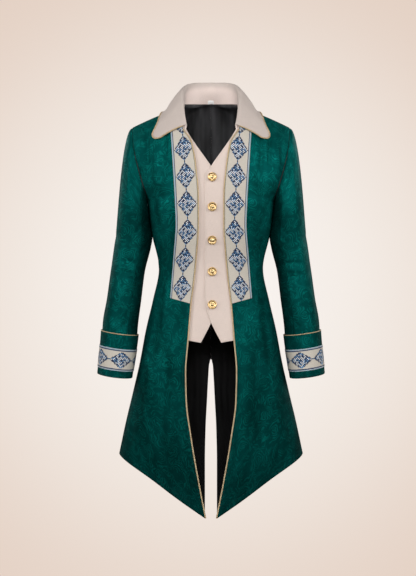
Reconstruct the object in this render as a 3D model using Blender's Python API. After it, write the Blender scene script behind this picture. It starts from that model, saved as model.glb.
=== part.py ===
"""A tailcoat with a false waistcoat, filled out as worn, with no wearer.

Metres, +Z up. The coat faces -Y, and +X is the wearer's left. The origin lies between the shoulders,
level with the side of the neck, where a wearer holds the coat up.

The body is one surface. A level runs over the shoulder: 0 is the shoulder seam, 1 to 14 go down the
front, -1 to -14 go down the back. On each level, a place is its distance along the cloth from the
middle of the body. Every panel, band and cord is made from this surface, moved out or in.
"""
import math

import bpy
import numpy as np

MM = 0.001

# Cloth
COAT_WALL = 2.0 * MM
VEST_WALL = 1.5 * MM
LINING_WALL = 1.0 * MM
RIBBON_WALL = 0.8 * MM
COLLAR_WALL = 2.2 * MM
SEAM = 0.17 * MM                  # each panel stops this far from its seam line
SKIN_GAP = 0.5 * MM               # air between two layers of cloth
CORD_RADIUS = 1.6 * MM
CUFF_CORD_RADIUS = 1.3 * MM
CORD_GAP = 0.35 * MM              # from a cord to the edge it is sewn to
CORD_SIDES = 6

# How far the edges of one layer stay inside those of the layer under it
RIBBON_INSET = 0.6 * MM           # at the front edge
RIBBON_SIDE_INSET = 0.4 * MM
LINING_INSET = 2.0 * MM
VEST_TURN = 4.0 * MM              # least width of the waistcoat's strip inside the front edge

# How far each layer's middle lies outside the coat wall's middle
RIBBON_OUT = COAT_WALL / 2 + SKIN_GAP + RIBBON_WALL / 2
LINING_OUT = -(COAT_WALL / 2 + 0.35 * MM + LINING_WALL / 2)
VEST_LEFT_OUT = -(COAT_WALL / 2 + 0.9 * MM + VEST_WALL / 2)
VEST_RIGHT_OUT = VEST_LEFT_OUT - VEST_WALL - 0.8 * MM

# The body's rows. The middle of a row is (0, centre_y, centre_z), and its outer end is the side seam,
# or the armhole above level 6. A wrap of 1 is a quarter of an oval, and 0.5 is half of that. An oval
# of 2 is a true one, and above 2 it is squarer.
# level, centre_y, centre_z, side_x, side_y, side_z, wrap, oval
BODY = (
    (-14, 0.142, -1.1050, 0.2420, 0.000, -0.914, 1.00, 2.30),
    (-13, 0.135, -0.9600, 0.2244, 0.000, -0.832, 1.00, 2.30),
    (-12, 0.127, -0.8145, 0.2052, 0.000, -0.751, 1.00, 2.30),
    (-11, 0.118, -0.6690, 0.1865, 0.000, -0.669, 1.00, 2.30),
    (-10, 0.109, -0.5900, 0.1717, 0.000, -0.590, 1.00, 2.30),
    (-9, 0.097, -0.5100, 0.1530, 0.000, -0.510, 1.00, 2.30),
    (-8, 0.085, -0.4240, 0.1368, 0.000, -0.424, 1.00, 2.35),
    (-7, 0.097, -0.3350, 0.1553, 0.000, -0.335, 1.00, 2.50),
    (-6, 0.109, -0.2570, 0.1656, 0.000, -0.257, 1.00, 2.70),
    (-5, 0.113, -0.1900, 0.1690, 0.038, -0.240, 0.93, 2.30),
    (-4, 0.109, -0.1150, 0.1800, 0.074, -0.203, 0.78, 2.30),
    (-3, 0.097, -0.0450, 0.1900, 0.074, -0.162, 0.65, 2.30),
    (-2, 0.075, 0.0153, 0.1990, 0.060, -0.122, 0.58, 2.30),
    (-1, 0.045, 0.0200, 0.2060, 0.036, -0.083, 0.52, 2.30),
    (0, -0.002, 0.0160, 0.2080, 0.004, -0.053, 0.50, 2.30),
    (1, -0.052, -0.0120, 0.2065, -0.030, -0.085, 0.52, 2.30),
    (2, -0.086, -0.0600, 0.2000, -0.052, -0.125, 0.58, 2.30),
    (3, -0.103, -0.1150, 0.1900, -0.064, -0.165, 0.65, 2.30),
    (4, -0.114, -0.1700, 0.1780, -0.064, -0.205, 0.78, 2.30),
    (5, -0.120, -0.2200, 0.1680, -0.034, -0.240, 0.93, 2.30),
    (6, -0.121, -0.2570, 0.1656, 0.000, -0.257, 1.00, 2.70),
    (7, -0.116, -0.3350, 0.1553, 0.000, -0.335, 1.00, 2.50),
    (8, -0.105, -0.4240, 0.1368, 0.000, -0.424, 1.00, 2.35),
    (9, -0.109, -0.5100, 0.1530, 0.000, -0.510, 1.00, 2.30),
    (10, -0.117, -0.5900, 0.1717, 0.000, -0.590, 1.00, 2.30),
    (11, -0.124, -0.6690, 0.1865, 0.000, -0.669, 1.00, 2.30),
    (12, -0.130, -0.8066, 0.2052, 0.000, -0.751, 1.00, 2.30),
    (13, -0.135, -0.9442, 0.2244, 0.000, -0.832, 1.00, 2.30),
    (14, -0.139, -1.0817, 0.2420, 0.000, -0.914, 1.00, 2.30),
)
ROW_SAMPLES = 129
LEVELS_PER_METRE = 8              # down the skirt, about
LEVEL_STEP = 0.02                 # for slopes, along and across the rows
RUN_STEP = 1.0 * MM
FLUTE_FROM = 8.5                  # the skirt starts to flute below this level
FLUTE_DEPTH = 4.5 * MM            # at the hem
FLUTE_WAVES = 1.5                 # over each quarter of the skirt

# Rows of the panels round the neck, so that the collar's stations meet them
FRONT_NECK_LEVELS = [0.005, 0.45, 0.9, 1.3, 1.62, 1.78, 2]
BACK_NECK_LEVELS = [-0.005, -0.45, -0.9, -1.25, -1.6, -1.8, -2]

# The coat's front edge, and the outer edge of the ribbon sewn along it
# height, x
FRONT_EDGE = (
    (-1.0900, 0.0120), (-1.0614, 0.0176), (-0.9709, 0.0352), (-0.8649, 0.0533), (-0.7666, 0.0659),
    (-0.6942, 0.0675), (-0.6140, 0.0615), (-0.5390, 0.0556), (-0.5158, 0.0535), (-0.4563, 0.0460),
    (-0.3839, 0.0393), (-0.3115, 0.0347), (-0.2391, 0.0349), (-0.1667, 0.0409), (-0.0943, 0.0538),
    (-0.0607, 0.0737), (-0.0300, 0.0755), (0.0200, 0.0730),
)
RIBBON_EDGE = (
    (-0.5400, 0.1100), (-0.5029, 0.1062), (-0.3839, 0.0966), (-0.3115, 0.0915), (-0.2443, 0.0940),
    (-0.1563, 0.0994), (-0.0865, 0.1042), (-0.0300, 0.1090), (0.0200, 0.1130),
)
RIBBON_LAST_LEVEL = 8.5
RIBBON_CUT_LEVELS = (9.09, 9.00, 8.92)   # its slanted lower end, from the front edge outwards

# The neck of the back, an oval in plan, and the centre back: a seam, then a vent
NECK_HALF_WIDTH = 0.073
NECK_DEPTH = 0.075
NECK_BACK_LEVEL = -2
# height, x
VENT_EDGE = (
    (-1.1200, 0.0163), (-0.9500, 0.0163), (-0.8600, 0.0145), (-0.7800, 0.0105), (-0.7200, 0.0073),
    (-0.6820, 0.0045), (-0.6690, 0.0002), (0.0200, 0.0002),
)

# The false waistcoat's inner edge: neckline, placket and the point below
# height, x
VEST_EDGE = (
    (-0.6400, 0.0375), (-0.6218, 0.0282), (-0.5667, 0.0000), (-0.5400, -0.0100), (-0.5000, -0.0168),
    (-0.1865, -0.0168), (-0.1600, 0.0000), (-0.0555, 0.0675), (-0.0300, 0.0765), (0.0200, 0.0740),
)
VEST_BOTTOM_LEVEL = 10.38

# Buttons down the placket
BUTTON_X = 0.003
BUTTON_HEIGHTS = (-0.1892, -0.2662, -0.3529, -0.4343, -0.5197)
BUTTON_RADIUS = 11.5 * MM
BUTTON_SIDES = 14
# share of the radius, height above the cloth in mm
BUTTON_PROFILE = ((0.82, 0.0), (1.00, 1.1), (0.97, 2.4), (0.76, 4.2), (0.42, 5.4))
BUTTON_CROWN = 5.8 * MM

# Sleeve rings, where the ring is an oval
# height, centre_x, centre_y, half_width, half_depth
SLEEVE = (
    (-0.2850, 0.2056, 0.004, 0.0410, 0.0740),
    (-0.3150, 0.2047, 0.006, 0.0443, 0.0695),
    (-0.3410, 0.2038, 0.007, 0.0470, 0.0665),
    (-0.3600, 0.2070, 0.008, 0.0470, 0.0650),
    (-0.4300, 0.2205, 0.008, 0.0437, 0.0615),
    (-0.5090, 0.2306, 0.000, 0.0441, 0.0580),
    (-0.5724, 0.2396, -0.010, 0.0454, 0.0555),
    (-0.6000, 0.2414, -0.014, 0.0450, 0.0550),
    (-0.7050, 0.2532, -0.030, 0.0427, 0.0520),
)
SLEEVE_TILT = 7.6                 # degrees, outer side up
WRIST_DROP = 4.0                  # degrees, front side down, at the wrist
CAP_REACH_TOP = 0.070
CAP_REACH_UNDER = 0.020
CAP_END_TOP = 0.200
CAP_END_UNDER = 0.030
SLEEVE_SEAM = 120                 # degrees round from the top of the sleeve
SLEEVE_SEAM_GAP = 0.25            # degrees from the seam to each piece's edge
AROUND = 15                       # degrees between a sleeve's columns
ARMHOLE_CLEAR = 1.5 * MM          # from the body's side to the sleeve's start, halfway down
ARMHOLE_SWING = 1.1 * MM          # less than that at the top, more under the arm

# Cuffs
CUFF_TOP = -0.596
CUFF_LENGTH = 0.111
CUFF_CLEAR_TOP = 3.9 * MM         # from the sleeve's middle to the cuff's middle
CUFF_CLEAR_BOTTOM = 2.7 * MM
CUFF_RIBBON_FROM = 0.036
CUFF_RIBBON_TO = 0.093
CUFF_CORD_GAP = 0.3 * MM

# Collar, half of it, from its front end to the centre back. The edge is the leaf's outline with its
# cord. The roll is the fold's radius in mm, and the turn is how far round the fold goes, in degrees.
# station, level of the neck edge, fold_x, fold_y, fold_z, edge_x, edge_y, edge_z, roll, turn
COLLAR = (
    (0.00, 1.90, 0.0635, -0.0810, -0.0545, 0.1330, -0.0720, -0.0862, 2.5, 112),
    (0.25, 1.80, 0.0648, -0.0780, -0.0490, 0.1440, -0.0690, -0.0884, 2.7, 116),
    (0.50, 1.70, 0.0660, -0.0755, -0.0430, 0.1505, -0.0660, -0.0860, 3.0, 120),
    (1.00, 1.50, 0.0680, -0.0690, -0.0320, 0.1537, -0.0620, -0.0785, 3.5, 126),
    (1.50, 1.22, 0.0702, -0.0570, -0.0140, 0.1502, -0.0580, -0.0660, 4.0, 129),
    (2.00, 0.90, 0.0718, -0.0430, 0.0060, 0.1443, -0.0500, -0.0519, 4.5, 130),
    (2.50, 0.45, 0.0716, -0.0240, 0.0235, 0.1373, -0.0340, -0.0380, 4.8, 129),
    (3.00, 0.00, 0.0700, -0.0050, 0.0400, 0.1295, -0.0120, -0.0235, 5.0, 128),
    (4.00, -0.90, 0.0590, 0.0360, 0.0600, 0.1040, 0.0580, -0.0150, 5.0, 138),
    (5.00, -1.60, 0.0340, 0.0580, 0.0675, 0.0570, 0.0880, -0.0110, 4.5, 152),
    (6.00, -2.00, 0.0000, 0.0660, 0.0690, 0.0000, 0.0975, -0.0120, 4.0, 160),
)
COLLAR_STATIONS = (0, 0.12, 0.25, 0.5, 0.75, 1, 1.5, 2, 2.5, 3, 3.5, 4, 4.5, 5, 5.5, 6)
# level of the neck edge, how far inside it the stand's middle is: wide at the front, beside the cord
COLLAR_INSET = ((-2.0, 2.2 * MM), (1.45, 2.2 * MM), (1.75, 5.3 * MM), (2.0, 5.3 * MM))
COLLAR_LIFT = 6.9 * MM            # the leaf's middle keeps at least this far out of the coat wall
COAT_NEAR = 4.0 * MM              # the coat counts as near a point of the leaf within this
COLLAR_EDGE_ROOM = 2 * CORD_RADIUS + CORD_GAP
ROLL_STEPS = 4
LEAF_BEND = 0.35                  # how long the fold's direction lasts in the leaf
LEAF_SHARES = (0.15, 0.32, 0.5, 0.68, 0.85, 1.0)

# Label inside the collar's stand
LABEL_SIZE = (18 * MM, 10 * MM, 0.6 * MM)
LABEL_SHARE = 0.12                # up the stand

# name: red, green, blue, roughness, metallic
COLOURS = {
    "brocade": (0.002, 0.072, 0.064, 0.55, 0.0),
    "lining": (0.008, 0.008, 0.009, 0.35, 0.0),
    "cream": (0.62, 0.53, 0.46, 0.8, 0.0),
    "ribbon": (0.58, 0.54, 0.46, 0.7, 0.0),
    "cord": (0.48, 0.33, 0.18, 0.6, 0.0),
    "gold": (0.72, 0.53, 0.26, 0.3, 1.0),
    "label": (0.85, 0.85, 0.83, 0.8, 0.0),
}


def smooth_curve(table, column):
    """A smooth function through one column of a table, with no overshoot between its rows."""
    keys = np.array([row[0] for row in table], float)
    values = np.array([row[column] for row in table], float)
    steps = np.diff(keys)
    slopes = np.diff(values) / steps
    tangents = np.concatenate([slopes[:1], np.zeros(len(slopes) - 1), slopes[-1:]])
    for i in range(1, len(slopes)):
        if slopes[i - 1] * slopes[i] > 0:
            before = 2 * steps[i] + steps[i - 1]
            after = steps[i] + 2 * steps[i - 1]
            tangents[i] = (before + after) / (before / slopes[i - 1] + after / slopes[i])

    def value(key):
        key = np.clip(key, keys[0], keys[-1])
        i = np.clip(np.searchsorted(keys, key, side="right") - 1, 0, len(steps) - 1)
        t = (key - keys[i]) / steps[i]
        return (values[i] * (1 + 2 * t) * (1 - t) ** 2 + tangents[i] * steps[i] * t * (1 - t) ** 2
                + values[i + 1] * t * t * (3 - 2 * t) + tangents[i + 1] * steps[i] * t * t * (t - 1))

    return value


BODY_CURVES = [smooth_curve(BODY, column) for column in range(1, 8)]
SLEEVE_CURVES = [smooth_curve([(-row[0],) + row[1:] for row in SLEEVE], column) for column in range(1, 5)]
COLLAR_CURVES = [smooth_curve(COLLAR, column) for column in range(1, 10)]
FRONT_EDGE_AT = smooth_curve(FRONT_EDGE, 1)
RIBBON_EDGE_AT = smooth_curve(RIBBON_EDGE, 1)
VENT_EDGE_AT = smooth_curve(VENT_EDGE, 1)
VEST_EDGE_AT = smooth_curve(VEST_EDGE, 1)
ROW_CACHE = {}


def unit(vectors):
    """The same vectors, each of length 1."""
    return vectors / np.maximum(np.linalg.norm(vectors, axis=-1, keepdims=True), 1e-12)


def half_row(level):
    """Points of one row from the middle to the side seam, with the skirt's flutes."""
    centre_y, centre_z, side_x, side_y, side_z, wrap, oval = (curve(level) for curve in BODY_CURVES)
    angles = np.linspace(0.0, math.radians(90) * wrap, ROW_SAMPLES)
    across = np.sin(angles) ** (2 / oval)
    along = np.maximum(np.cos(angles), 0.0) ** (2 / oval)
    x = side_x * across / across[-1]
    y = side_y + (centre_y - side_y) * (along - along[-1]) / (1 - along[-1])
    sweep = 1.5 if abs(level) < 8 else 1.0
    z = centre_z + (side_z - centre_z) * (x / side_x) ** sweep
    points = np.stack([x, y, z], axis=1)
    depth = FLUTE_DEPTH * max(0.0, (abs(level) - FLUTE_FROM) / (14 - FLUTE_FROM)) ** 1.3
    if depth:
        run = np.concatenate([[0], np.cumsum(np.linalg.norm(np.diff(points, axis=0), axis=1))])
        share = run / run[-1]
        wave = depth * np.sin(2 * math.pi * FLUTE_WAVES * share) * np.sin(math.pi * share)
        tangent = np.gradient(points[:, :2], axis=0)
        outward = unit(np.abs(tangent[:, ::-1])) * (1, math.copysign(1, -level))
        points[:, :2] += outward * wave[:, None]
    return points


def body_row(level):
    """Distances and points along a whole row, from the right side seam to the left one."""
    key = round(float(level), 6)
    if key not in ROW_CACHE:
        half = half_row(key)
        beyond = half[-1] + unit(half[-1] - half[-2]) * 0.02
        half = np.vstack([half, beyond])
        run = np.concatenate([[0], np.cumsum(np.linalg.norm(np.diff(half, axis=0), axis=1))])
        mirror = half[:0:-1] * (-1, 1, 1)
        ROW_CACHE[key] = (np.concatenate([-run[:0:-1], run]), np.vstack([mirror, half]))
    return ROW_CACHE[key]


def on_body(level, run):
    """The point at a distance along a row."""
    runs, points = body_row(level)
    return np.array([np.interp(run, runs, points[:, axis]) for axis in range(3)])


def side_run(level):
    """The distance from the middle to the side seam or armhole."""
    return body_row(level)[0][-2]


def run_at(level, edge_at):
    """The distance along a row at which it crosses an edge given as x for each height."""
    runs, points = body_row(level)
    beyond = points[:, 0] - edge_at(points[:, 2])
    crossing = np.nonzero((beyond[:-1] < 0) & (beyond[1:] >= 0))[0][0]
    share = -beyond[crossing] / (beyond[crossing + 1] - beyond[crossing])
    return runs[crossing] + share * (runs[crossing + 1] - runs[crossing])


def back_edge_run(level):
    """The distance along a back row to the neck's edge, the centre seam or the vent."""
    if level <= NECK_BACK_LEVEL:
        return run_at(level, VENT_EDGE_AT)
    runs, points = body_row(level)
    middle = len(runs) // 2
    inside = (points[middle:, 0] / NECK_HALF_WIDTH) ** 2 + (points[middle:, 1] / NECK_DEPTH) ** 2 - 1
    return float(np.interp(0.0, inside, runs[middle:]))


def neck_edge_run(level):
    """The distance along a row to the coat's neck edge, front or back."""
    return run_at(level, FRONT_EDGE_AT) if level > 0 else back_edge_run(level)


def body_point(level, run, out=0.0):
    """A point of the body's surface, moved out of it."""
    point = on_body(level, run)
    if out:
        point = point + body_normal(level, run) * out
    return point


def body_normal(level, run):
    """The direction straight out of the body's surface."""
    down = on_body(min(level + LEVEL_STEP, 14), run) - on_body(max(level - LEVEL_STEP, -14), run)
    across = on_body(level, run + RUN_STEP) - on_body(level, run - RUN_STEP)
    return unit(np.cross(down, across))


def material(name):
    """One of the part's plain materials."""
    found = bpy.data.materials.get(name)
    if found:
        return found
    red, green, blue, roughness, metallic = COLOURS[name]
    made = bpy.data.materials.new(name)
    made.use_nodes = True
    shader = made.node_tree.nodes["Principled BSDF"]
    shader.inputs["Base Color"].default_value = (red, green, blue, 1)
    shader.inputs["Roughness"].default_value = roughness
    shader.inputs["Metallic"].default_value = metallic
    return made


def add_solid(name, points, faces, colour):
    """One closed solid as an object."""
    mesh = bpy.data.meshes.new(name)
    mesh.from_pydata([tuple(point) for point in points], [], [tuple(face) for face in faces])
    mesh.materials.append(material(colour))
    piece = bpy.data.objects.new(name, mesh)
    bpy.context.collection.objects.link(piece)
    return piece


def split_quad(a, b, c, d):
    """A four-sided face as two triangles."""
    return [(a, b, c), (a, c, d)]


def cloth(middle, normals, wall, around=False):
    """Points and faces of a wall of cloth on a grid of points, its outer face along the normals.

    Around closes each row into a ring.
    """
    rows, columns = middle.shape[:2]
    outer = (middle + normals * wall / 2).reshape(-1, 3)
    inner = (middle - normals * wall / 2).reshape(-1, 3)
    points = np.vstack([outer, inner])
    under = rows * columns
    faces = []
    last = columns if around else columns - 1
    for r in range(rows - 1):
        for c in range(last):
            a = r * columns + c
            b = (r + 1) * columns + c
            a2 = r * columns + (c + 1) % columns
            b2 = (r + 1) * columns + (c + 1) % columns
            faces += split_quad(a, b, b2, a2)
            faces += split_quad(under + a, under + a2, under + b2, under + b)
    for c in range(last):
        first, second = c, (c + 1) % columns
        faces += split_quad(first, second, under + second, under + first)
        low = (rows - 1) * columns
        faces += split_quad(low + second, low + first, under + low + first, under + low + second)
    if not around:
        for r in range(rows - 1):
            left, left_next = r * columns, (r + 1) * columns
            faces += split_quad(left_next, left, under + left, under + left_next)
            right, right_next = left + columns - 1, left_next + columns - 1
            faces += split_quad(right, right_next, under + right_next, under + right)
    down = middle[1, 0] - middle[0, 0]
    across = middle[0, 1] - middle[0, 0]
    if np.dot(np.cross(down, across), normals[0, 0]) < 0:
        faces = [face[::-1] for face in faces]
    return points, faces


def mirrored(points, faces):
    """The same solid on the other side of the body."""
    return points * (-1, 1, 1), [face[::-1] for face in faces]


def add_pair(name, points, faces, colour):
    """The wearer's left piece and its mirror image on the right."""
    add_solid(name + "_left", points, faces, colour)
    points, faces = mirrored(points, faces)
    add_solid(name + "_right", points, faces, colour)


def body_cloth(rows, out, wall):
    """A wall of cloth on the body, from rows of (level, run) places."""
    middle = np.array([[body_point(level, run, out) for level, run in row] for row in rows])
    normals = np.array([[body_normal(level, run) for level, run in row] for row in rows])
    return cloth(middle, normals, wall)


def spread(first, last, count):
    """Evenly spaced values, ends included."""
    return [first + (last - first) * i / (count - 1) for i in range(count)]


def front_columns(level):
    """Distances of the front's columns: edge, ribbon's middle, ribbon's edge, then on to the side."""
    edge = run_at(level, FRONT_EDGE_AT)
    ribbon = run_at(level, RIBBON_EDGE_AT)
    return [edge, (edge + ribbon) / 2] + spread(ribbon, side_run(level) - SEAM, 6)


def make_fronts():
    """The two fronts, from the shoulder seam to the tails."""
    levels = FRONT_NECK_LEVELS + spread(2.5, 14, 24)
    rows = [[(level, run) for run in front_columns(level)] for level in levels]
    add_pair("front", *body_cloth(rows, 0.0, COAT_WALL), "brocade")


def back_rows(inset):
    """Rows of the back, from the shoulder seam to the tails, drawn in from their edges by an inset."""
    levels = BACK_NECK_LEVELS + spread(-2.5, -14, 24)
    levels[-1] += inset * LEVELS_PER_METRE
    rows = []
    for level in levels:
        runs = spread(back_edge_run(level), side_run(level) - SEAM, 8)
        runs[0] += inset if level > NECK_BACK_LEVEL or level < -11 else 0
        rows.append([(level, run) for run in runs])
    return rows


def make_backs():
    """The two backs and their linings, which lie just inside them."""
    add_pair("back", *body_cloth(back_rows(0.0), 0.0, COAT_WALL), "brocade")
    add_pair("lining", *body_cloth(back_rows(LINING_INSET), LINING_OUT, LINING_WALL), "lining")


def make_front_ribbons():
    """The woven bands along the fronts, cut off on a slant below the waist."""
    rows = []
    for level in FRONT_NECK_LEVELS[3:] + spread(2.5, RIBBON_LAST_LEVEL, 13):
        edge = run_at(level, FRONT_EDGE_AT) + RIBBON_INSET
        far = run_at(level, RIBBON_EDGE_AT) - RIBBON_SIDE_INSET
        rows.append([(level, run) for run in (edge, (edge + far) / 2, far)])
    low = []
    for level, share in zip(RIBBON_CUT_LEVELS, (0, 0.5, 1)):
        edge = run_at(level, FRONT_EDGE_AT) + RIBBON_INSET
        far = run_at(level, RIBBON_EDGE_AT) - RIBBON_SIDE_INSET
        low.append((level, edge + (far - edge) * share))
    rows.append(low)
    add_pair("front_ribbon", *body_cloth(rows, RIBBON_OUT, RIBBON_WALL), "ribbon")


def vest_rows():
    """Rows of the left waistcoat front, from the shoulder to its point."""
    levels = FRONT_NECK_LEVELS + [2.5, 3, 3.3, 3.6, 3.8, 4, 4.25] + spread(4.5, 9, 10)
    levels += [9.35, 9.7, 10, VEST_BOTTOM_LEVEL]
    rows = []
    for level in levels:
        inner = run_at(level, VEST_EDGE_AT)
        edge, tuck = front_columns(level)[:2]
        turn = max(edge, inner + VEST_TURN)
        rows.append([(level, run) for run in (inner, (inner + turn) / 2, turn, tuck)])
    return rows


def make_vest():
    """The false waistcoat: two fronts, the left lapping over the right."""
    points, faces = body_cloth(vest_rows(), VEST_LEFT_OUT, VEST_WALL)
    add_solid("vest_left", points, faces, "cream")
    points, faces = body_cloth(vest_rows(), VEST_RIGHT_OUT, VEST_WALL)
    add_solid("vest_right", *mirrored(points, faces), "cream")


def frame_at(normal):
    """Two directions across a normal, the first level and the second up."""
    level = unit(np.cross((0, 0, 1), normal))
    return level, np.cross(normal, level)


def make_buttons():
    """Domed buttons on the placket."""
    for number, height in enumerate(BUTTON_HEIGHTS, 1):
        levels = np.linspace(3, 10, 400)
        heights = [on_body(level, BUTTON_X)[2] for level in levels]
        level = float(np.interp(-height, -np.array(heights), levels))
        normal = body_normal(level, BUTTON_X)
        base = body_point(level, BUTTON_X, VEST_LEFT_OUT + VEST_WALL / 2 + SKIN_GAP)
        right, up = frame_at(normal)
        points = []
        for share, rise in BUTTON_PROFILE:
            for side in range(BUTTON_SIDES):
                turn = 2 * math.pi * side / BUTTON_SIDES
                reach = right * math.cos(turn) + up * math.sin(turn)
                points.append(base + reach * BUTTON_RADIUS * share + normal * rise * MM)
        points += [base, base + normal * BUTTON_CROWN]
        faces = []
        below, crown = len(points) - 2, len(points) - 1
        last_ring = (len(BUTTON_PROFILE) - 1) * BUTTON_SIDES
        for side in range(BUTTON_SIDES):
            following = (side + 1) % BUTTON_SIDES
            faces.append((below, following, side))
            faces.append((crown, last_ring + side, last_ring + following))
            for ring in range(len(BUTTON_PROFILE) - 1):
                low, high = ring * BUTTON_SIDES, (ring + 1) * BUTTON_SIDES
                faces += split_quad(low + side, low + following, high + following, high + side)
        add_solid(f"button_{number}", points, faces, "gold")


def tube(path, radius, sides, closed=False):
    """Points and faces of a round cord along a path."""
    path = np.asarray(path, float)
    count = len(path)
    if closed:
        tangents = unit(np.roll(path, -1, axis=0) - np.roll(path, 1, axis=0))
    else:
        tangents = unit(np.gradient(path, axis=0))
    normal = unit(np.cross(tangents[0], (0.3, 1.0, 0.2)))
    points = []
    for place, tangent in zip(path, tangents):
        normal = unit(normal - tangent * np.dot(normal, tangent))
        side = np.cross(tangent, normal)
        for step in range(sides):
            turn = 2 * math.pi * step / sides
            points.append(place + (normal * math.cos(turn) + side * math.sin(turn)) * radius)
    faces = []
    for i in range(count if closed else count - 1):
        here, ahead = i * sides, ((i + 1) % count) * sides
        for step in range(sides):
            following = (step + 1) % sides
            faces += split_quad(here + step, here + following, ahead + following, ahead + step)
    if not closed:
        low = (count - 1) * sides
        for step in range(1, sides - 1):
            faces.append((0, step + 1, step))
            faces.append((low, low + step, low + step + 1))
    return np.array(points), faces


def beside(edge, normals, reach):
    """A path beside an edge, on the surface with these normals."""
    return edge + unit(np.cross(np.gradient(edge, axis=0), normals)) * reach


def make_front_piping():
    """A cord along each front edge, from under the collar to the tail's tip."""
    levels = FRONT_NECK_LEVELS[5:] + spread(2.5, 14, 24)
    edge = np.array([body_point(level, run_at(level, FRONT_EDGE_AT)) for level in levels])
    normals = np.array([body_normal(level, run_at(level, FRONT_EDGE_AT)) for level in levels])
    path = beside(edge, normals, CORD_RADIUS + CORD_GAP)
    add_pair("front_piping", *tube(path, CORD_RADIUS, CORD_SIDES), "cord")


def armhole_levels(front):
    """Levels along the armhole and the share of the way from the shoulder to the armpit."""
    levels = np.linspace(0, 6 if front else -6, 121)
    sides = np.array([[curve(level) for curve in BODY_CURVES[2:5]] for level in levels])
    run = np.concatenate([[0], np.cumsum(np.linalg.norm(np.diff(sides, axis=0), axis=1))])
    return run / run[-1], sides


ARMHOLE_FRONT = armhole_levels(True)
ARMHOLE_BACK = armhole_levels(False)


def armhole_point(angle):
    """A point of the sleeve's start, by the angle round from the top, in degrees, front first."""
    shares, sides = ARMHOLE_FRONT if angle >= 0 else ARMHOLE_BACK
    point = np.array([np.interp(abs(angle) / 180, shares, sides[:, axis]) for axis in range(3)])
    point[0] += ARMHOLE_CLEAR - ARMHOLE_SWING * math.cos(math.radians(angle))
    return point


def sleeve_ring(height, angle, clear=0.0):
    """A point of the sleeve's oval at a depth below the origin."""
    centre_x, centre_y, half_width, half_depth = (curve(height) for curve in SLEEVE_CURVES)
    turn = math.radians(angle)
    reach_x = (half_width + clear) * math.cos(turn)
    reach_y = (half_depth + clear) * math.sin(turn)
    share = (height + SLEEVE[0][0]) / (SLEEVE[0][0] - SLEEVE[-1][0])
    drop = math.tan(math.radians(WRIST_DROP * share))
    rise = reach_x * math.tan(math.radians(SLEEVE_TILT)) - reach_y * drop
    return np.array([centre_x + reach_x, centre_y - reach_y, -height + rise])


def sleeve_point(angle, step):
    """A point of the sleeve: step 0 to 1 is its cap, then steps follow the rows of its table."""
    angle = (angle + 180) % 360 - 180
    if step >= 1:
        heights = [-row[0] for row in SLEEVE]
        return sleeve_ring(np.interp(step - 1, range(len(SLEEVE)), heights), angle)
    start = armhole_point(angle)
    top = (1 + math.cos(math.radians(angle))) / 2
    lean = 0.35 + 0.65 * (1 - top)
    leave = unit(np.array([top, 0.0, -lean])) * (CAP_REACH_TOP * top + CAP_REACH_UNDER * (1 - top))
    first = -SLEEVE[0][0]
    end = sleeve_ring(first, angle)
    arrive = unit(sleeve_ring(first + 0.004, angle) - end)
    arrive = arrive * (CAP_END_TOP * top + CAP_END_UNDER * (1 - top))
    return (start * (1 + 2 * step) * (1 - step) ** 2 + leave * step * (1 - step) ** 2
            + end * step * step * (3 - 2 * step) + arrive * step * step * (step - 1))


def sleeve_grid(angles, steps):
    """Points and outward normals of part of a sleeve."""
    middle = np.array([[sleeve_point(angle, step) for angle in angles] for step in steps])
    normals = np.empty_like(middle)
    for r, step in enumerate(steps):
        low, high = max(step - 0.02, 0), min(step + 0.02, len(SLEEVE))
        for c, angle in enumerate(angles):
            down = sleeve_point(angle, high) - sleeve_point(angle, low)
            across = sleeve_point(angle + 1, step) - sleeve_point(angle - 1, step)
            normals[r, c] = unit(np.cross(across, down))
    return middle, normals


def make_sleeves():
    """Two-piece sleeves: the upper sleeve, and the under sleeve against the body."""
    steps = [0, 0.12, 0.27, 0.45, 0.65, 0.83] + [1, 2, 3, 4, 4.5, 5, 5.5, 6, 7, 8, 9]
    seam = SLEEVE_SEAM - SLEEVE_SEAM_GAP
    upper = spread(-seam, seam, 2 * SLEEVE_SEAM // AROUND + 1)
    seam = SLEEVE_SEAM + SLEEVE_SEAM_GAP
    under = spread(seam, 360 - seam, (360 - 2 * SLEEVE_SEAM) // AROUND + 1)
    add_pair("upper_sleeve", *cloth(*sleeve_grid(upper, steps), COAT_WALL), "brocade")
    add_pair("under_sleeve", *cloth(*sleeve_grid(under, steps), COAT_WALL), "brocade")


def cuff_point(angle, down, out=0.0):
    """A point of the cuff, by the distance below its top."""
    share = down / CUFF_LENGTH
    clear = CUFF_CLEAR_TOP + (CUFF_CLEAR_BOTTOM - CUFF_CLEAR_TOP) * share
    return sleeve_ring(-CUFF_TOP + down, angle, clear + out)


def cuff_cloth(downs, out, wall):
    """A band of cloth round the cuff."""
    angles = [AROUND * i for i in range(360 // AROUND)]
    middle = np.array([[cuff_point(angle, down, out) for angle in angles] for down in downs])
    normals = np.empty_like(middle)
    for r, down in enumerate(downs):
        for c, angle in enumerate(angles):
            below = cuff_point(angle, down + MM) - cuff_point(angle, down - MM)
            across = cuff_point(angle + 1, down) - cuff_point(angle - 1, down)
            normals[r, c] = unit(np.cross(across, below))
    return cloth(middle, normals, wall, around=True)


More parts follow.
